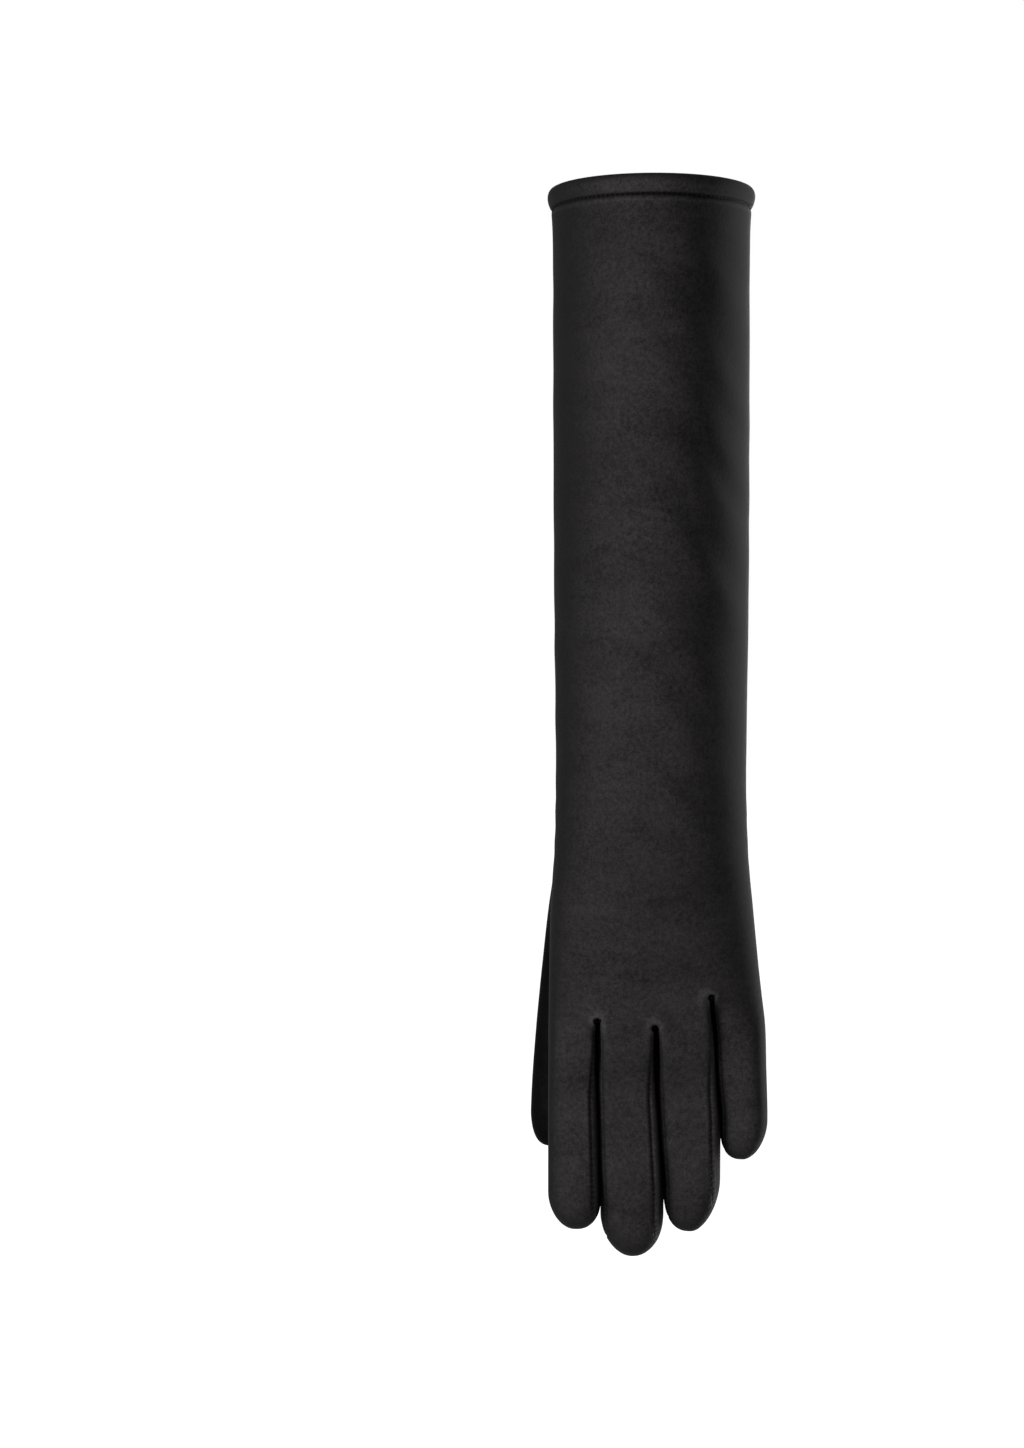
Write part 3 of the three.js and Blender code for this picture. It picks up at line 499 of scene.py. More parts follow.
def weld(parts):
    """Grids to one mesh: equal points become one, and each quad keeps the name of its part."""
    points, quads, owners, first = [], [], [], 0
    for name, grid in parts:
        rows, cols = grid.shape[:2]
        quad = grid_quads(first + np.arange(rows * cols).reshape(rows, cols))
        points.append(grid.reshape(-1, grid.shape[-1]))
        quads.append(quad)
        owners.append(np.full(len(quad), name))
        first += rows * cols
    points = np.concatenate(points)
    _, kept, where = np.unique(
        points[:, :3].round(4), axis=0, return_index=True, return_inverse=True
    )
    quads = where.reshape(-1)[np.concatenate(quads)]
    alive = (quads[:, 0] != quads[:, 1]) & (quads[:, 1] != quads[:, 2])
    return points[kept], quads[alive], np.concatenate(owners)[alive]


def point_normals(points, quads):
    """Normals one long: the sum over the faces round a point of the cross of their diagonals."""
    a, b, c, d = (points[quads[:, i]] for i in range(4))
    each = np.cross(c - a, d - b)
    total = np.zeros_like(points)
    for i in range(4):
        np.add.at(total, quads[:, i], each)
    return total / np.maximum(np.linalg.norm(total, axis=1), 1e-9)[:, None]


def relax(points, quads, amount, rounds):
    """Moves each point towards the mean of its neighbours by its own amount, a few times over."""
    a, b = quads.reshape(-1), quads[:, [1, 2, 3, 0]].reshape(-1)
    count = np.bincount(a, minlength=len(points)) + np.bincount(b, minlength=len(points))
    for _ in range(rounds):
        total = np.zeros_like(points)
        np.add.at(total, a, points[b])
        np.add.at(total, b, points[a])
        points = points + amount[:, None] * (total / count[:, None] - points)
    return points


skin, quads, owners = weld(grids)
order = np.argsort(skin[:, 2])
skin, quads = skin[order], np.argsort(order)[quads]
skin, painted_shade_and_light = skin[:, :3], skin[:, 3]
print("skin:", len(skin), "points,", len(quads), "faces")

# %% [markdown]
# ## The thumb
#
# The thumb is a tube of its own, set into a hole in the palm. Its table gives the middle line and
# size at six heights. Where each column comes out of the palm is found by asking the palm's own
# superellipse how far inside it the column still is. That curve is the thumb's seam.

# %% Thumb surface
THUMB_START, THUMB_LENGTH, THUMB_TIP = -238.0, 122.8, 13.3
THUMB_POWER, THUMB_FULL = 2.2, 0.57
THUMB_COLUMNS, THUMB_SEAM_COLUMN = 73, 66
# share of the length, how far inside the hand's edge, towards the palm, half width, half depth
THUMB = np.array(
    [
        [0.0, 19.5, 1.7, 17.7, 11.8],
        [0.2, 14.9, 7.7, 15.1, 12.9],
        [0.4, 10.1, 14.6, 12.3, 12.4],
        [0.6, 6.0, 21.1, 10.2, 11.2],
        [0.8, 3.3, 24.3, 9.3, 10.5],
        [1.0, 2.0, 24.7, 8.9, 10.1],
    ]
)


def thumb_section(z):
    """Centre and half sizes of the thumb at a height, measured from the hand's thumb edge."""
    inside, back, w, d = np.moveaxis(read_table(THUMB, (THUMB_START - z) / THUMB_LENGTH), -1, 0)
    hand = np.moveaxis(read_table(TUBE, np.minimum(-z, KNUCKLE_DROP)), -1, 0)
    return hand[2] - hand[0] + inside, hand[3] + back, w, d


def thumb_point(angle, z, turn=0.0):
    """Ring of the thumb; past its straight part, turn closes the tip.

    The size goes by the cosine to the power THUMB_FULL, fuller than a ball's, the drop by the sine.
    """
    cx, cy, w, d = thumb_section(z)
    size = np.maximum(np.cos(turn), 0.0) ** THUMB_FULL
    x = cx + w * size * root_of(np.cos(angle), THUMB_POWER)
    y = cy - d * size * root_of(np.sin(angle), THUMB_POWER)
    return np.stack([x, y, z - THUMB_TIP * np.sin(turn) + 0 * x], axis=-1)


def palm_depth(point, inset):
    """How far outside the palm less inset a point lies, in mm, below 0 inside.

    It is (the superellipse's level less 1) times the smaller half size.
    """
    w, d, shift, into_palm, n = np.moveaxis(read_table(TUBE, -point[..., 2]), -1, 0)
    x, y = point[..., 0] - shift, point[..., 1] - into_palm
    level = (np.abs(x / (w - inset)) ** n + np.abs(y / (d - inset)) ** n) ** (1 / n)
    return (level - 1.0) * np.minimum(w, d)


thumb_angle = np.linspace(0, 2 * np.pi, THUMB_COLUMNS)
search_z = np.linspace(THUMB_START, -335, 400)[:, None]
still_inside = palm_depth(thumb_point(thumb_angle, search_z), 0.5) < 0
last_inside = len(search_z) - 1 - np.argmax(still_inside[::-1], axis=0)
foot_z = search_z[last_inside, 0]
foot_z = (np.roll(foot_z[:-1], 1) + 2 * foot_z[:-1] + np.roll(foot_z[:-1], -1)) / 4
foot_z = np.append(foot_z, foot_z[0])
straight_end = THUMB_START - THUMB_LENGTH + THUMB_TIP
thumb_down = blend(foot_z, straight_end, (np.linspace(0, 1, 66) ** 1.2)[:, None])
tip_turn = np.linspace(0, np.pi / 2, 14)[1:, None]
tip_rows = thumb_point(thumb_angle, np.array(straight_end), tip_turn)
thumb_grid = np.concatenate([thumb_point(thumb_angle, thumb_down), tip_rows])
thumb_foot, thumb_seam = thumb_grid[0], thumb_grid[:-4, THUMB_SEAM_COLUMN]
print("thumb comes out of the palm from", foot_z.max().round(), "to", foot_z.min().round(), "mm")

# %% [markdown]
# ## Seams
#
# A sewn seam pulls two cuttings into a groove with a soft roll on either side. We measure how far
# each point lies from the nearest seam and how far along it, and push the skin in or out by that
# alone. The same two numbers are kept on the mesh, so that the material can put the needle's small
# puckers in the same place.

# %% Distance to the seams
CHUNK = 4000  # points compared at a time, in order of height, with the seams near them


def run_length(path):
    """Length run along a path at each of its points: the sum of the steps up to it."""
    return np.append(0, np.cumsum(np.linalg.norm(np.diff(path, axis=0), axis=1)))


def fill_path(path, step=0.5):
    """Extra points along a path, evenly spaced, and the length run at each."""
    length = run_length(path)
    run = np.arange(0, length[-1], step)
    return np.stack([np.interp(run, length, path[:, i]) for i in range(3)], axis=1), run


def nearest_seam(points, paths, reach=7.0):
    """Distance to the closest path point, its run, how far it is from the end, and which path's."""
    rows = []
    for which, path in enumerate(paths):
        place, run = fill_path(path)
        rows.append(np.column_stack([place, run, run[-1] - run, np.full(len(run), which)]))
    rows = np.concatenate(rows)
    found = np.tile([reach, 0.0, 0.0, 0.0], (len(points), 1))
    for first in range(0, len(points), CHUNK):
        lot = slice(first, first + CHUNK)
        low, high = points[lot].min(0) - reach, points[lot].max(0) + reach
        near = rows[((rows[:, :3] > low) & (rows[:, :3] < high)).all(1)]
        if len(near):
            gap = np.linalg.norm(points[lot, None] - near[:, :3], axis=2)
            best = near[gap.argmin(1), 3:]
            found[lot] = np.column_stack([np.minimum(gap.min(1), reach), best])
    return found.T


side_tube = len(column_z) - 1 - OUTER_COLUMNS // 2
side_finger = side_grid(3, "outward")[1:-3, OUTER_COLUMNS // 2, :3]
side_path = np.concatenate([tube_grid[:, side_tube, :3], side_finger])
finger_gap, finger_run, finger_end, finger_path = nearest_seam(skin, seam_paths)
other_gap, other_run, other_end, _ = nearest_seam(skin, [side_path, thumb_foot])
strength = np.array(seam_strength)[finger_path.astype(int)] * smooth((finger_run - 1.5) / 5)
seam_gap = np.minimum(finger_gap + 1.0 - strength, other_gap)
seam_run = np.where(finger_gap < other_gap, finger_run, other_run)
hem_near = np.abs(skin[:, 2] + HEM_HEIGHT)
seam_run = np.where(hem_near < seam_gap, 0.0, seam_run)
seam_gap = np.minimum(seam_gap, 0.75 * hem_near)

# %% [markdown]
# The end of a slit is strained when the fingers spread. The skin stands up round it in a low ring
# with a painted highlight on it, and the end itself is a small round pit, dipped and painted dark
# as shadow.

# %% Ring and pit at the end of each slit
LIP, PIT, PIT_EDGE = 7.0, 1.4, 0.5  # how far the ring runs down the lips, the pit's radius and rim
PIT_SHIFT = [(-0.2, -0.3), (-0.4, -0.35), (0.85, 0.0)]  # the pit's place, across and up


def slit_end_masks(points, normal):
    """Ring, painted highlight and pit round the slits' ends, each 0 to 1.

    Ring and painted highlight are bells of the distance from an end, which ignores the first LIP of
    drop, so they run down both lips. They are fainter on the palm. The pit is an S-curve over its
    rim; it dips the skin and is painted dark as shadow.
    """
    ring, light, pit = np.zeros((3, len(points)))
    for edge, (across, up) in zip((1, 2, 3), PIT_SHIFT):
        for way, share in ((1, 0.75), (-1, 0.4)):
            angle = edge_angle[edge] if way > 0 else 2 * np.pi - edge_angle[edge]
            top = edge_z[edge] - (0 if way > 0 else palm_drop[edge])
            end_x, _, end_z = tube_point(np.array(angle), np.array(top))
            x, z = points[:, 0] - end_x, points[:, 2] - end_z
            down = np.clip(-z, 0, LIP)
            away = np.hypot(x, z + down)
            facing = share * smooth(-way * normal[:, 1] * 2) * (1 - down / 9)
            ring = np.maximum(ring, bell(away - 2.4, 1.3) * facing)
            # painted highlight: a bell round each slit's end where the colour is made lighter
            light = np.maximum(light, bell(np.maximum(away - 1.2, 0), 1.9) * facing)
            in_pit = smooth((PIT - np.hypot(x - across, z - up)) / PIT_EDGE)
            pit = np.maximum(pit, in_pit * (facing > 0.02))
    return ring, light, pit


root_zone = bell(np.interp(skin[:, 0], ROOT_X, [-306, -310, -312, -301, -302]) - skin[:, 2], 9.0)
skin = relax(skin, quads, 0.5 * root_zone * smooth((finger_gap - 1.2) / 3.0), 10)
normal = point_normals(skin, quads)
# light is the painted highlight mask; pit both dips the skin and is painted dark as shadow
ring, light, pit = slit_end_masks(skin, normal)

# %% [markdown]
# Now the skin moves: in at the seams, out beside them. The painted shade number rises in the hem's
# seam and in the pits, as painted shade. Where light is painted on it falls below 0, a painted
# highlight: round a slit's end, on the ridge beside a finger's seam and just under the hem.

# %% Push the skin in and out
FINGER_SEAM = 0.45  # depth of a finger's seam as a share of the thumb's


def seam_relief(distance, to_end, groove=0.6, roll=0.3):
    """Height beside a seam: roll times a bell round 1.7 mm less groove times one round the seam.

    Both die out by an S-curve over the seam's last 5 mm.
    """
    return (roll * bell(distance - 1.7, 0.9) - groove * bell(distance, 0.6)) * smooth(to_end / 5)


height = FINGER_SEAM * strength * seam_relief(finger_gap, finger_end)
height += seam_relief(other_gap, other_end, 0.4, 0.15) + 0.6 * ring - 0.7 * pit
skin = skin + normal * height[:, None]
# painted highlight: lighter colour on the seam ridges, round the slits' ends and just under the hem
ridge = strength * bell(finger_gap - 1.5, 0.8) * smooth(-4 * normal[:, 1])
under_hem = bell(skin[:, 2] + HEM_HEIGHT + 1.7, 0.8)
painted_highlight = np.max([1.55 * light, 0.35 * ridge, 0.6 * under_hem], axis=0)
painted_shade_and_light = np.where(painted_shade_and_light > 0.3, painted_shade_and_light, painted_shade_and_light - painted_highlight)
# painted shade in the hem's seam
in_hem_seam = np.maximum(painted_shade_and_light, 0.6 * bell(hem_near, 0.5))
painted_shade_and_light = np.where(hem_near < 1.2, in_hem_seam, painted_shade_and_light)
# painted shadow in the pits at the slits' ends
painted_shade_and_light = blend(painted_shade_and_light, 1.0, pit)
print("deepest groove:", height.min().round(2), "mm, highest roll:", height.max().round(2), "mm")
# the thumb's seam round its foot is closed, so it doesn't die out
thumb_skin, thumb_quads, _ = weld([("thumb", thumb_grid)])
thumb_gap, thumb_run, thumb_end, _ = nearest_seam(thumb_skin, [thumb_foot, thumb_seam])
foot_gap = nearest_seam(thumb_skin, [thumb_foot])[0]
thumb_end = np.where(foot_gap < 4, 9, thumb_end)
thumb_normal = point_normals(thumb_skin, thumb_quads)
thumb_skin = thumb_skin + thumb_normal * seam_relief(thumb_gap, thumb_end)[:, None]
# painted shade: the thumb is marked dark where it faces the palm, below the hand, in place of the
# hand's shadow
under_palm = smooth(0.5 - 1.6 * thumb_normal[:, 1]) * smooth((-250 - thumb_skin[:, 2]) / 30)

# %% [markdown]
# ## Cut the skin into its pieces
#
# Each cutting becomes its own mesh from the faces that carry its name. The palm loses the faces
# inside the thumb, so the hole is really there. Solidify then gives the leather its thickness,
# inwards, with a rim at every cut edge.

# %% Meshes
LEATHER = 1.1
HOLE_INSET = 1.6  # the hole is this much smaller all round than the thumb


def make_mesh(name, points, faces, notes=None):
    """Quads and triangles to a shaded object in metres; notes go on as named attributes."""
    used, faces = np.unique(faces, return_inverse=True)
    faces = faces.reshape(-1, 4)
    triangles = faces[:, 2] == faces[:, 3]
    mesh = bpy.data.meshes.new(name)
    listed = faces[~triangles].tolist() + faces[triangles][:, :3].tolist()
    mesh.from_pydata((points[used] * MM).tolist(), [], listed)
    mesh.shade_smooth()
    for label, values in (notes or {}).items():
        mesh.attributes.new(label, "FLOAT", "POINT").data.foreach_set("value", values[used])
    piece = bpy.data.objects.new(name, mesh)
    bpy.context.collection.objects.link(piece)
    return piece


def thicken(piece, thickness):
    """Solidify inwards: the outer face stays where the skin is."""
    wall = piece.modifiers.new("leather", "SOLIDIFY")
    wall.thickness = thickness * MM
    wall.offset = -1.0
    return piece


middle = skin[quads].mean(axis=1)
cx, cy, w, d = thumb_section(middle[:, 2])
x_share = np.abs((middle[:, 0] - cx) / (w - HOLE_INSET))
y_share = np.abs((middle[:, 1] - cy) / (d - HOLE_INSET))
in_thumb = x_share**THUMB_POWER + y_share**THUMB_POWER < 1
in_thumb &= (middle[:, 2] < THUMB_START - 4) & (middle[:, 2] > -330) & (middle[:, 1] > 2)

pieces = {}
notes = {"seam_gap": seam_gap, "seam_run": seam_run, "painted_shade_and_light": painted_shade_and_light}
for name in ["trank", *SLIT_NAMES]:
    mine = quads[(owners == name) & ~in_thumb]
    pieces[name] = thicken(make_mesh(name, skin, mine, notes), LEATHER)
# the thumb's painted shade where it faces the palm
notes = {"seam_gap": thumb_gap, "seam_run": thumb_run, "painted_shade_and_light": 0.84 * under_palm}
pieces["thumb"] = thicken(make_mesh("thumb", thumb_skin, thumb_quads, notes), LEATHER)
for name, piece in pieces.items():
    print(name, len(piece.data.polygons), "faces")

# %% [markdown]
# ## The hem
#
# The top edge is covered by a folded band. A band is a closed outline carried round the mouth. The
# outline's corners are cut off twice (Chaikin's way), which rounds it as a fold of soft leather is
# rounded, and the stitching pulls its lower edge in, a little more at each stitch.

# %% Folded band
HEM_SEAM_Z, STITCH_PITCH = -7.8, 1.9
MOUTH_RADIUS = 36.1  # turns an angle into a length round the mouth
# distance out from the sleeve's surface, height
hem_outline = [
    [0.25, -7.3], [0.55, -7.75], [1.05, -7.35], [1.5, -6.3], [1.95, -4.8],
    [2.15, -3.3], [1.85, -1.7], [1.0, -0.45], [-0.6, 0.0], [-2.1, -0.5],
    [-2.75, -2.0], [-2.85, -7.4], [-1.6, -7.5], [-1.6, -2.1], [0.25, -2.1],
]
hem_outline = np.array(hem_outline)
for _ in range(2):
    ahead = np.roll(hem_outline, -1, axis=0)
    pair = np.stack([0.75 * hem_outline + 0.25 * ahead, 0.25 * hem_outline + 0.75 * ahead], axis=1)
    hem_outline = pair.reshape(-1, 2)
mouth_angle = np.linspace(0, 2 * np.pi, 721)
out, band_z = hem_outline[:, :1], hem_outline[:, 1:]
around = MOUTH_RADIUS * mouth_angle
dent = bell(band_z - HEM_SEAM_Z, 1.1) * (0.12 + 0.02 * np.cos(2 * np.pi * around / STITCH_PITCH))
slack = 0.16 * np.sin(around / 5.3) * np.sin(around / 13.1 + 1.0) * bell(band_z + 3.5, 3.0)
push = np.where(out > 0.5, slack - dent, 0.0)
base = read_table(TUBE, -band_z + 0 * mouth_angle)
hem_x = (base[..., 0] + out + push) * np.cos(mouth_angle)
hem_y = -(base[..., 1] + out + push) * np.sin(mouth_angle)
hem_grid = np.stack([hem_x, hem_y, band_z + 0 * mouth_angle], axis=-1)
hem_grid = np.concatenate([hem_grid, hem_grid[:1]])[::-1]
hem_grid[:, -1] = hem_grid[:, 0]
hem_skin, hem_quads, _ = weld([("hem_band", hem_grid)])
hem_gap = np.abs(hem_skin[:, 2] - HEM_SEAM_Z)
# painted shade in the hem's seam
notes = {"seam_gap": 0.75 * hem_gap, "seam_run": 0 * hem_gap, "painted_shade_and_light": 0.6 * bell(hem_gap, 0.5)}
pieces["hem_band"] = make_mesh("hem_band", hem_skin, hem_quads, notes)
print("hem:", len(hem_quads), "faces")

# %% [markdown]
# ## Thread
#
# The stitches are real: short rounded pins of thread laid along a seam, all copies of one small
# capsule. The copies are placed by whole arrays: each has a centre, a direction along the seam and
# the skin's normal, and those three turn the capsule.

# %% Stitches
# from one stitch to the next, length, radius and how deep a stitch lies
HEM_STITCH = (STITCH_PITCH, 1.3, 0.15, 0.0)
FORK_STITCH, SIDE_STITCH = (2.1, 1.2, 0.1, 0.12), (2.4, 1.4, 0.11, 0.1)


def capsule(length, radius, rings=5, sides=6):
    """A pin along x: rings that follow a half circle at each end; returns a grid."""
    turn = np.linspace(0, np.pi, rings + 2)[:, None]
    around = np.linspace(0, 2 * np.pi, sides + 1)
    x = -np.cos(turn) * length / 2 + 0 * around
    size = radius * np.sin(turn) ** 0.5
    return np.stack([x, size * np.cos(around), size * np.sin(around)], axis=-1)


def capsule_faces(rows, cols):
    """Quads of a capsule's grid, closed round it and at both ends; end faces are triangles."""
    index = np.arange(rows * cols).reshape(rows, cols)
    index[:, -1] = index[:, 0]
    index[0], index[-1] = index[0, 0], index[-1, 0]
    faces = grid_quads(index)
    starts = faces[:, 0] == faces[:, 1]
    faces[starts] = faces[starts][:, [2, 3, 0, 0]]
    return faces


def stitches(name, paths, size):
    """A capsule every pitch along each path, lying on the skin and turned along the path.

    A point is the centre plus x along the path, y across it and z up, square to each other.
    """
    pitch, length, radius, sink = size
    rows = []
    for path, outward in paths:
        points, run = fill_path(path, pitch)
        side = np.stack([np.interp(run, run_length(path), way) for way in outward.T], axis=1)
        rows.append(np.stack([points, np.gradient(points, axis=0), side])[:, 1:-1])
    centres, along, up = np.concatenate(rows, axis=1)
    along /= np.linalg.norm(along, axis=1)[:, None]
    across = np.cross(up, along)
    across /= np.linalg.norm(across, axis=1)[:, None]
    up = np.cross(along, across)
    pin = capsule(length, radius)
    turned_pins = np.einsum("pk,kni->npi", pin.reshape(-1, 3), np.stack([along, across, up]))
    placed = (centres - sink * up)[:, None] + turned_pins
    first = placed.shape[1] * np.arange(len(centres))[:, None, None]
    faces = (capsule_faces(*pin.shape[:2]) + first).reshape(-1, 4)
    print(name, len(centres), "stitches")
    return make_mesh(name, placed.reshape(-1, 3), faces)


def on_skin(path, points, normals):
    """The path moved to the closest points of the finished skin, with the normals there."""
    parts = np.array_split(path, 8)
    best = [np.linalg.norm(points - part[:, None], axis=2).argmin(1) for part in parts]
    best = np.concatenate(best)
    return points[best], normals[best]


skin_normal = point_normals(skin, quads)
thumb_normal = point_normals(thumb_skin, thumb_quads)
hem_out = np.stack([np.cos(mouth_angle), -np.sin(mouth_angle), 0 * mouth_angle], axis=-1)
hem_line = hem_out * [MOUTH_W + 0.45, MOUTH_D + 0.45, 0.0] + [0.0, 0.0, HEM_SEAM_Z]
fork_lines = [on_skin(path[14:-5], skin, skin_normal) for path in seam_paths]
side_line = on_skin(side_path[16:], skin, skin_normal)
thumb_lines = [on_skin(path, thumb_skin, thumb_normal) for path in (thumb_foot, thumb_seam)]
pieces["hem_thread"] = stitches("hem_thread", [(hem_line, hem_out)], HEM_STITCH)
pieces["fork_thread"] = stitches("fork_thread", fork_lines, FORK_STITCH)
pieces["side_thread"] = stitches("side_thread", [side_line], SIDE_STITCH)
pieces["thumb_thread"] = stitches("thumb_thread", thumb_lines, FORK_STITCH)

# %% [markdown]
# ## Finishes
#
# Suede is leather with its fibres raised. Close up it is a fine, uneven grain. From further off the
# nap lies one way here and another there, so the tone drifts in soft patches. Body and hem need
# both at their own scale, so they come from a node group. First some short helpers.

# %% Helpers for nodes
def new_group(name, inputs, outputs):
    """An empty shader group whose sockets are all numbers; returns it and its two ends."""
    group = bpy.data.node_groups.new(name, "ShaderNodeTree")
    for label, value in inputs.items():
        socket = group.interface.new_socket(label, in_out="INPUT", socket_type="NodeSocketFloat")
        socket.default_value = value
    for label in outputs:
        group.interface.new_socket(label, in_out="OUTPUT", socket_type="NodeSocketFloat")
    ends = [group.nodes.new(kind) for kind in ("NodeGroupInput", "NodeGroupOutput")]
    return group, ends[0].outputs, ends[1].inputs


def new_material(name, inputs):
    """A material with these inputs of its shader set; returns its tree and those inputs too."""
    material = bpy.data.materials.new(name)
    material.use_nodes = True
    shader = material.node_tree.nodes["Principled BSDF"].inputs
    for label, value in inputs.items():
        shader[label].default_value = value
    return material, material.node_tree, shader


def add_node(tree, kind, inputs, **settings):
    """Outputs of a new node: its settings first, then a value or a link on each input."""
    node = tree.nodes.new("ShaderNode" + kind)
    for label, value in settings.items():
        setattr(node, label, value)
    for label, value in inputs.items():
        if isinstance(value, bpy.types.NodeSocket):
            tree.links.new(value, node.inputs[label])
        else:
            node.inputs[label].default_value = value
    return node.outputs


def math(tree, kind, a, b=0.0, clamp=False):
    """Result of a Math node on two numbers or sockets."""
    return add_node(tree, "Math", {0: a, 1: b}, operation=kind, use_clamp=clamp)[0]


def noise(tree, vector, scale, detail, rough):
    """Value of a Noise texture on a vector."""
    values = {"Vector": vector, "Scale": scale, "Detail": detail, "Roughness": rough}
    return add_node(tree, "TexNoise", values)["Fac"]


def attribute(tree, name):
    """A number kept on the mesh's points."""
    return add_node(tree, "Attribute", {}, attribute_name=name)["Fac"]


def mix_colours(tree, share, a, b):
    """Colour a where share is 0 and b where it is 1."""
    values = {"Factor": share, "A": a, "B": b}
    return add_node(tree, "Mix", values, data_type="RGBA")["Result"]

# %% [markdown]
# The nap's tone is 0.5 plus 3.2 times what the grain differs from its mean, plus 1.5 times the same
# of the drift, a coarser noise stretched along the lie of the nap. The puckers group gives a dark
# line at a seam and the small waves that the needle leaves, one for each stitch.

# %% Node groups
nap, nap_in, nap_out = new_group("suede_nap", {"Grain": 1500.0, "Patchy": 1.0}, ["Tone", "Height"])
place = add_node(nap, "TexCoord", {})["Object"]
lie = {"Vector": place, "Rotation": (0.0, np.radians(-42), 0.0), "Scale": (1.0, 1.0, 2.6)}
lay = add_node(nap, "Mapping", lie)["Vector"]
fine = noise(nap, place, nap_in["Grain"], 2.0, 0.6)
speck = noise(nap, place, math(nap, "MULTIPLY", nap_in["Grain"], 0.42), 3.0, 0.65)
grain = math(nap, "ADD", math(nap, "MULTIPLY", fine, 0.5), math(nap, "MULTIPLY", speck, 0.5))
brushed = math(nap, "MULTIPLY", noise(nap, lay, 95.0, 3.0, 0.6), 0.45)
patches = math(nap, "MULTIPLY", noise(nap, lay, 22.0, 2.0, 0.5), 0.55)
drift = math(nap, "SUBTRACT", math(nap, "ADD", brushed, patches), 0.5)
drift = math(nap, "MULTIPLY", drift, nap_in["Patchy"])
tone = math(nap, "MULTIPLY", math(nap, "SUBTRACT", grain, 0.5), 3.2)
tone = math(nap, "ADD", math(nap, "ADD", tone, 0.5), math(nap, "MULTIPLY", drift, 1.5), clamp=True)
nap.links.new(tone, nap_out["Tone"])
nap.links.new(grain, nap_out["Height"])

sewn, sewn_in, sewn_out = new_group("needle_puckers", {"Pitch": 2.1}, ["Shade", "Height"])
gap_here = attribute(sewn, "seam_gap")
beside = math(sewn, "SUBTRACT", 1.0, math(sewn, "DIVIDE", gap_here, 1.9), clamp=True)
turns = math(sewn, "DIVIDE", attribute(sewn, "seam_run"), sewn_in["Pitch"])
wave = math(sewn, "COSINE", math(sewn, "MULTIPLY", turns, 2 * np.pi))
wave = math(sewn, "ADD", math(sewn, "MULTIPLY", wave, 0.5), 0.5)
line = math(sewn, "SUBTRACT", 1.0, math(sewn, "DIVIDE", gap_here, 0.8), clamp=True)
sewn.links.new(math(sewn, "MULTIPLY", beside, wave), sewn_out["Height"])
sewn.links.new(line, sewn_out["Shade"])
print("groups:", [g.name for g in bpy.data.node_groups])

# %% [markdown]
# The material mixes two blacks by the nap's tone: the fibres' tips are a little warmer and lighter
# than the shadow between them. Seen at a slant the tips hide the light between them, so the colour
# darkens towards the edge of the form, and only the edge lights bring it back. The painted shade
# number paints shade into colour, sheen and gloss alike, and paints light in where it is below 0.

# %% Suede
SEAM_BLACK, SHEEN_TINT = (0.004, 0.0035, 0.004, 1.0), (0.62, 0.58, 0.59, 1.0)
SEAM_SHARE, PAINTED_SHADE_SHARE, SLANT_POWER = 0.8, 0.9, 3.5
SHEEN, GLOSS = 0.05, 0.15
# the tone between the fibres and at their tips
BODY_TONES = (0.010, 0.0088, 0.0092, 1.0), (0.036, 0.033, 0.034, 1.0)
HEM_TONES = (0.013, 0.0118, 0.0122, 1.0), (0.046, 0.0425, 0.0437, 1.0)


def suede(name, tones, grain, patchy, pitch):
    """Suede: the nap's two tones, black in the seams, times slant and painted shade and light,
    bumped twice.

    The colour is the tone times (1 - facing)^SLANT_POWER times the painted light share, and that
    share is 1 less PAINTED_SHADE_SHARE times the painted shade number; it scales sheen and gloss
    too.
    """
    plain = {"Roughness": 0.9, "Sheen Roughness": 0.42, "Sheen Tint": SHEEN_TINT}
    material, tree, shader = new_material(name, plain)
    nap_here = add_node(tree, "Group", {"Grain": grain, "Patchy": patchy}, node_tree=nap)
    seam_here = add_node(tree, "Group", {"Pitch": pitch}, node_tree=sewn)
    colour = mix_colours(tree, nap_here["Tone"], *tones)
    in_seam = math(tree, "MULTIPLY", seam_here["Shade"], SEAM_SHARE)
    colour = mix_colours(tree, in_seam, colour, SEAM_BLACK)
    slant = add_node(tree, "LayerWeight", {"Blend": 0.5})["Facing"]
    shown = math(tree, "POWER", math(tree, "SUBTRACT", 1.0, slant), SLANT_POWER)
    # painted shade and painted light from the mesh's number, into colour, sheen and gloss
    closed = math(tree, "MULTIPLY", attribute(tree, "painted_shade_and_light"), PAINTED_SHADE_SHARE)
    painted_light_share = math(tree, "SUBTRACT", 1.0, closed)
    share = math(tree, "MULTIPLY", shown, painted_light_share)
    dimmed = add_node(tree, "VectorMath", {0: colour, "Scale": share}, operation="SCALE")
    fibres = {"Height": nap_here["Height"], "Distance": 0.00022, "Strength": 0.7}
    puckers = {"Height": seam_here["Height"], "Distance": 0.00035, "Strength": 0.8}
    puckers["Normal"] = add_node(tree, "Bump", fibres)["Normal"]
    fed = {
        "Base Color": dimmed["Vector"],
        "Sheen Weight": math(tree, "MULTIPLY", painted_light_share, SHEEN),
        "Specular IOR Level": math(tree, "MULTIPLY", painted_light_share, GLOSS, clamp=True),
        "Normal": add_node(tree, "Bump", puckers)["Normal"],
    }
    for label, value in fed.items():
        tree.links.new(value, shader[label])
    return material


body_suede = suede("black_suede", BODY_TONES, 1500.0, 1.0, 2.1)
hem_suede = suede("hem_suede", HEM_TONES, 1700.0, 0.7, STITCH_PITCH)

# %% [markdown]
# The thread is a plain black with a fine wave for its twist. Then every piece gets its finish,
# rides on the glove's one body and takes the place of the plain node of the same name.

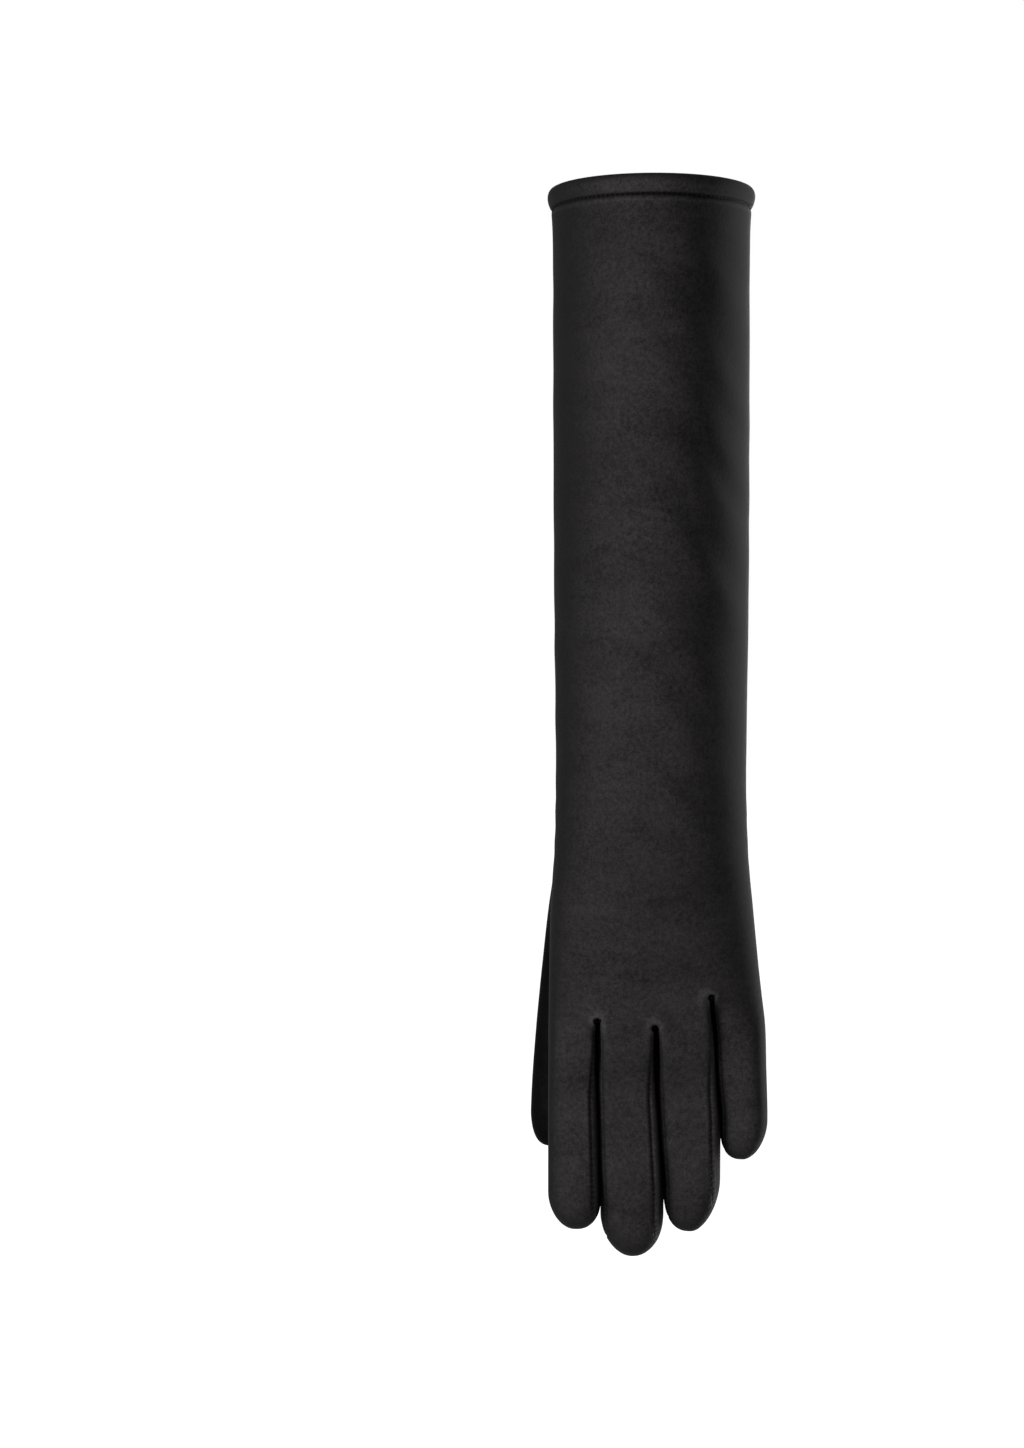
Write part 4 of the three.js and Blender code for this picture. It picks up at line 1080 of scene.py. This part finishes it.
# %% Thread and hand-out of the finishes
plain = {"Roughness": 0.6, "Specular IOR Level": GLOSS}
thread, tree, shader = new_material("black_thread", plain)
wound = {"Vector": add_node(tree, "TexCoord", {})["Object"], "Scale": 900.0, "Distortion": 1.5}
twist = add_node(tree, "TexWave", wound)["Fac"]
ply = mix_colours(tree, twist, (0.004, 0.004, 0.0045, 1.0), (0.01, 0.0095, 0.01, 1.0))
tree.links.new(ply, shader["Base Color"])

for name, piece in pieces.items():
    finish = thread if "thread" in name else hem_suede if name == "hem_band" else body_suede
    piece.data.materials.append(finish)
    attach(piece, "root")
for name in ["trank", *SLIT_NAMES, "thumb", "hem_band"]:
    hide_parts(name)

# %% [markdown]
# ## Stage
#
# The glove hangs before plain white, over a floor of white paper out of the picture. Paper and sky
# are bright only for the camera: at full strength they would turn the black grey. A Light Path node
# tells the camera's rays from the light's.

# %% Floor and sky
WHITE = (1.0, 1.0, 1.0, 1.0)
floor_mesh = bpy.data.meshes.new("floor")
corners = [(-30, -30, -0.75), (30, -30, -0.75), (30, 30, -0.75), (-30, 30, -0.75)]
floor_mesh.from_pydata(corners, [], [(0, 1, 2, 3)])
floor = bpy.data.objects.new("floor", floor_mesh)
bpy.context.collection.objects.link(floor)
plain = {"Base Color": (0.9, 0.9, 0.9, 1.0), "Roughness": 0.8, "Emission Color": WHITE}
paper, tree, shader = new_material("white_paper", plain)
seen = add_node(tree, "LightPath", {})["Is Camera Ray"]
tree.links.new(math(tree, "MULTIPLY", seen, 0.9), shader["Emission Strength"])
floor_mesh.materials.append(paper)

world = bpy.data.worlds.new("studio")
bpy.context.scene.world = world
world.use_nodes = True
sky = world.node_tree
dim = sky.nodes["Background"]
dim.inputs["Color"].default_value = WHITE
dim.inputs["Strength"].default_value = 0.25
white = add_node(sky, "Background", {"Color": WHITE, "Strength": 1.0})[0]
seen = add_node(sky, "LightPath", {})["Is Camera Ray"]
choose = add_node(sky, "MixShader", {0: seen, 1: dim.outputs[0], 2: white})[0]
sky.links.new(choose, sky.nodes["World Output"].inputs["Surface"])
print("floor at", corners[0][2], "m")

# %% [markdown]
# ## Light
#
# Black suede on white needs its edges drawn by light. A large soft box on the left, a little to the
# front, lights the thumb's side. A tall one at the right, half behind the glove, and one behind it
# draw the right edge and leave a dark band beside it. A last, faint one does so on the left.

# %% Soft boxes
GLOVE_MIDDLE = Vector((0.0, 0.0, -0.2))
# place in metres, width and height, power in watts
SOFT_BOXES = {
    "key": ((-1.52, -0.7, 0.35), (0.5, 0.9), 32.0),
    "right_edge": ((0.87, 0.48, -0.15), (0.3, 1.2), 16.0),
    "back": ((0.45, 1.6, 0.1), (0.6, 1.0), 14.0),
    "left_edge": ((-0.75, 0.9, -0.15), (0.3, 1.2), 0.7),
}
for name, (place, size, power) in SOFT_BOXES.items():
    light = bpy.data.lights.new(name, "AREA")
    light.shape = "RECTANGLE"
    light.size, light.size_y = size
    light.energy = power
    lamp = bpy.data.objects.new(name, light)
    bpy.context.collection.objects.link(lamp)
    lamp.location = place
    lamp.rotation_euler = (GLOVE_MIDDLE - Vector(place)).to_track_quat("-Z", "Y").to_euler()
    print(name, power, "W")
bpy.context.scene.view_settings.view_transform = "Standard"
bpy.context.scene.view_settings.look = "None"
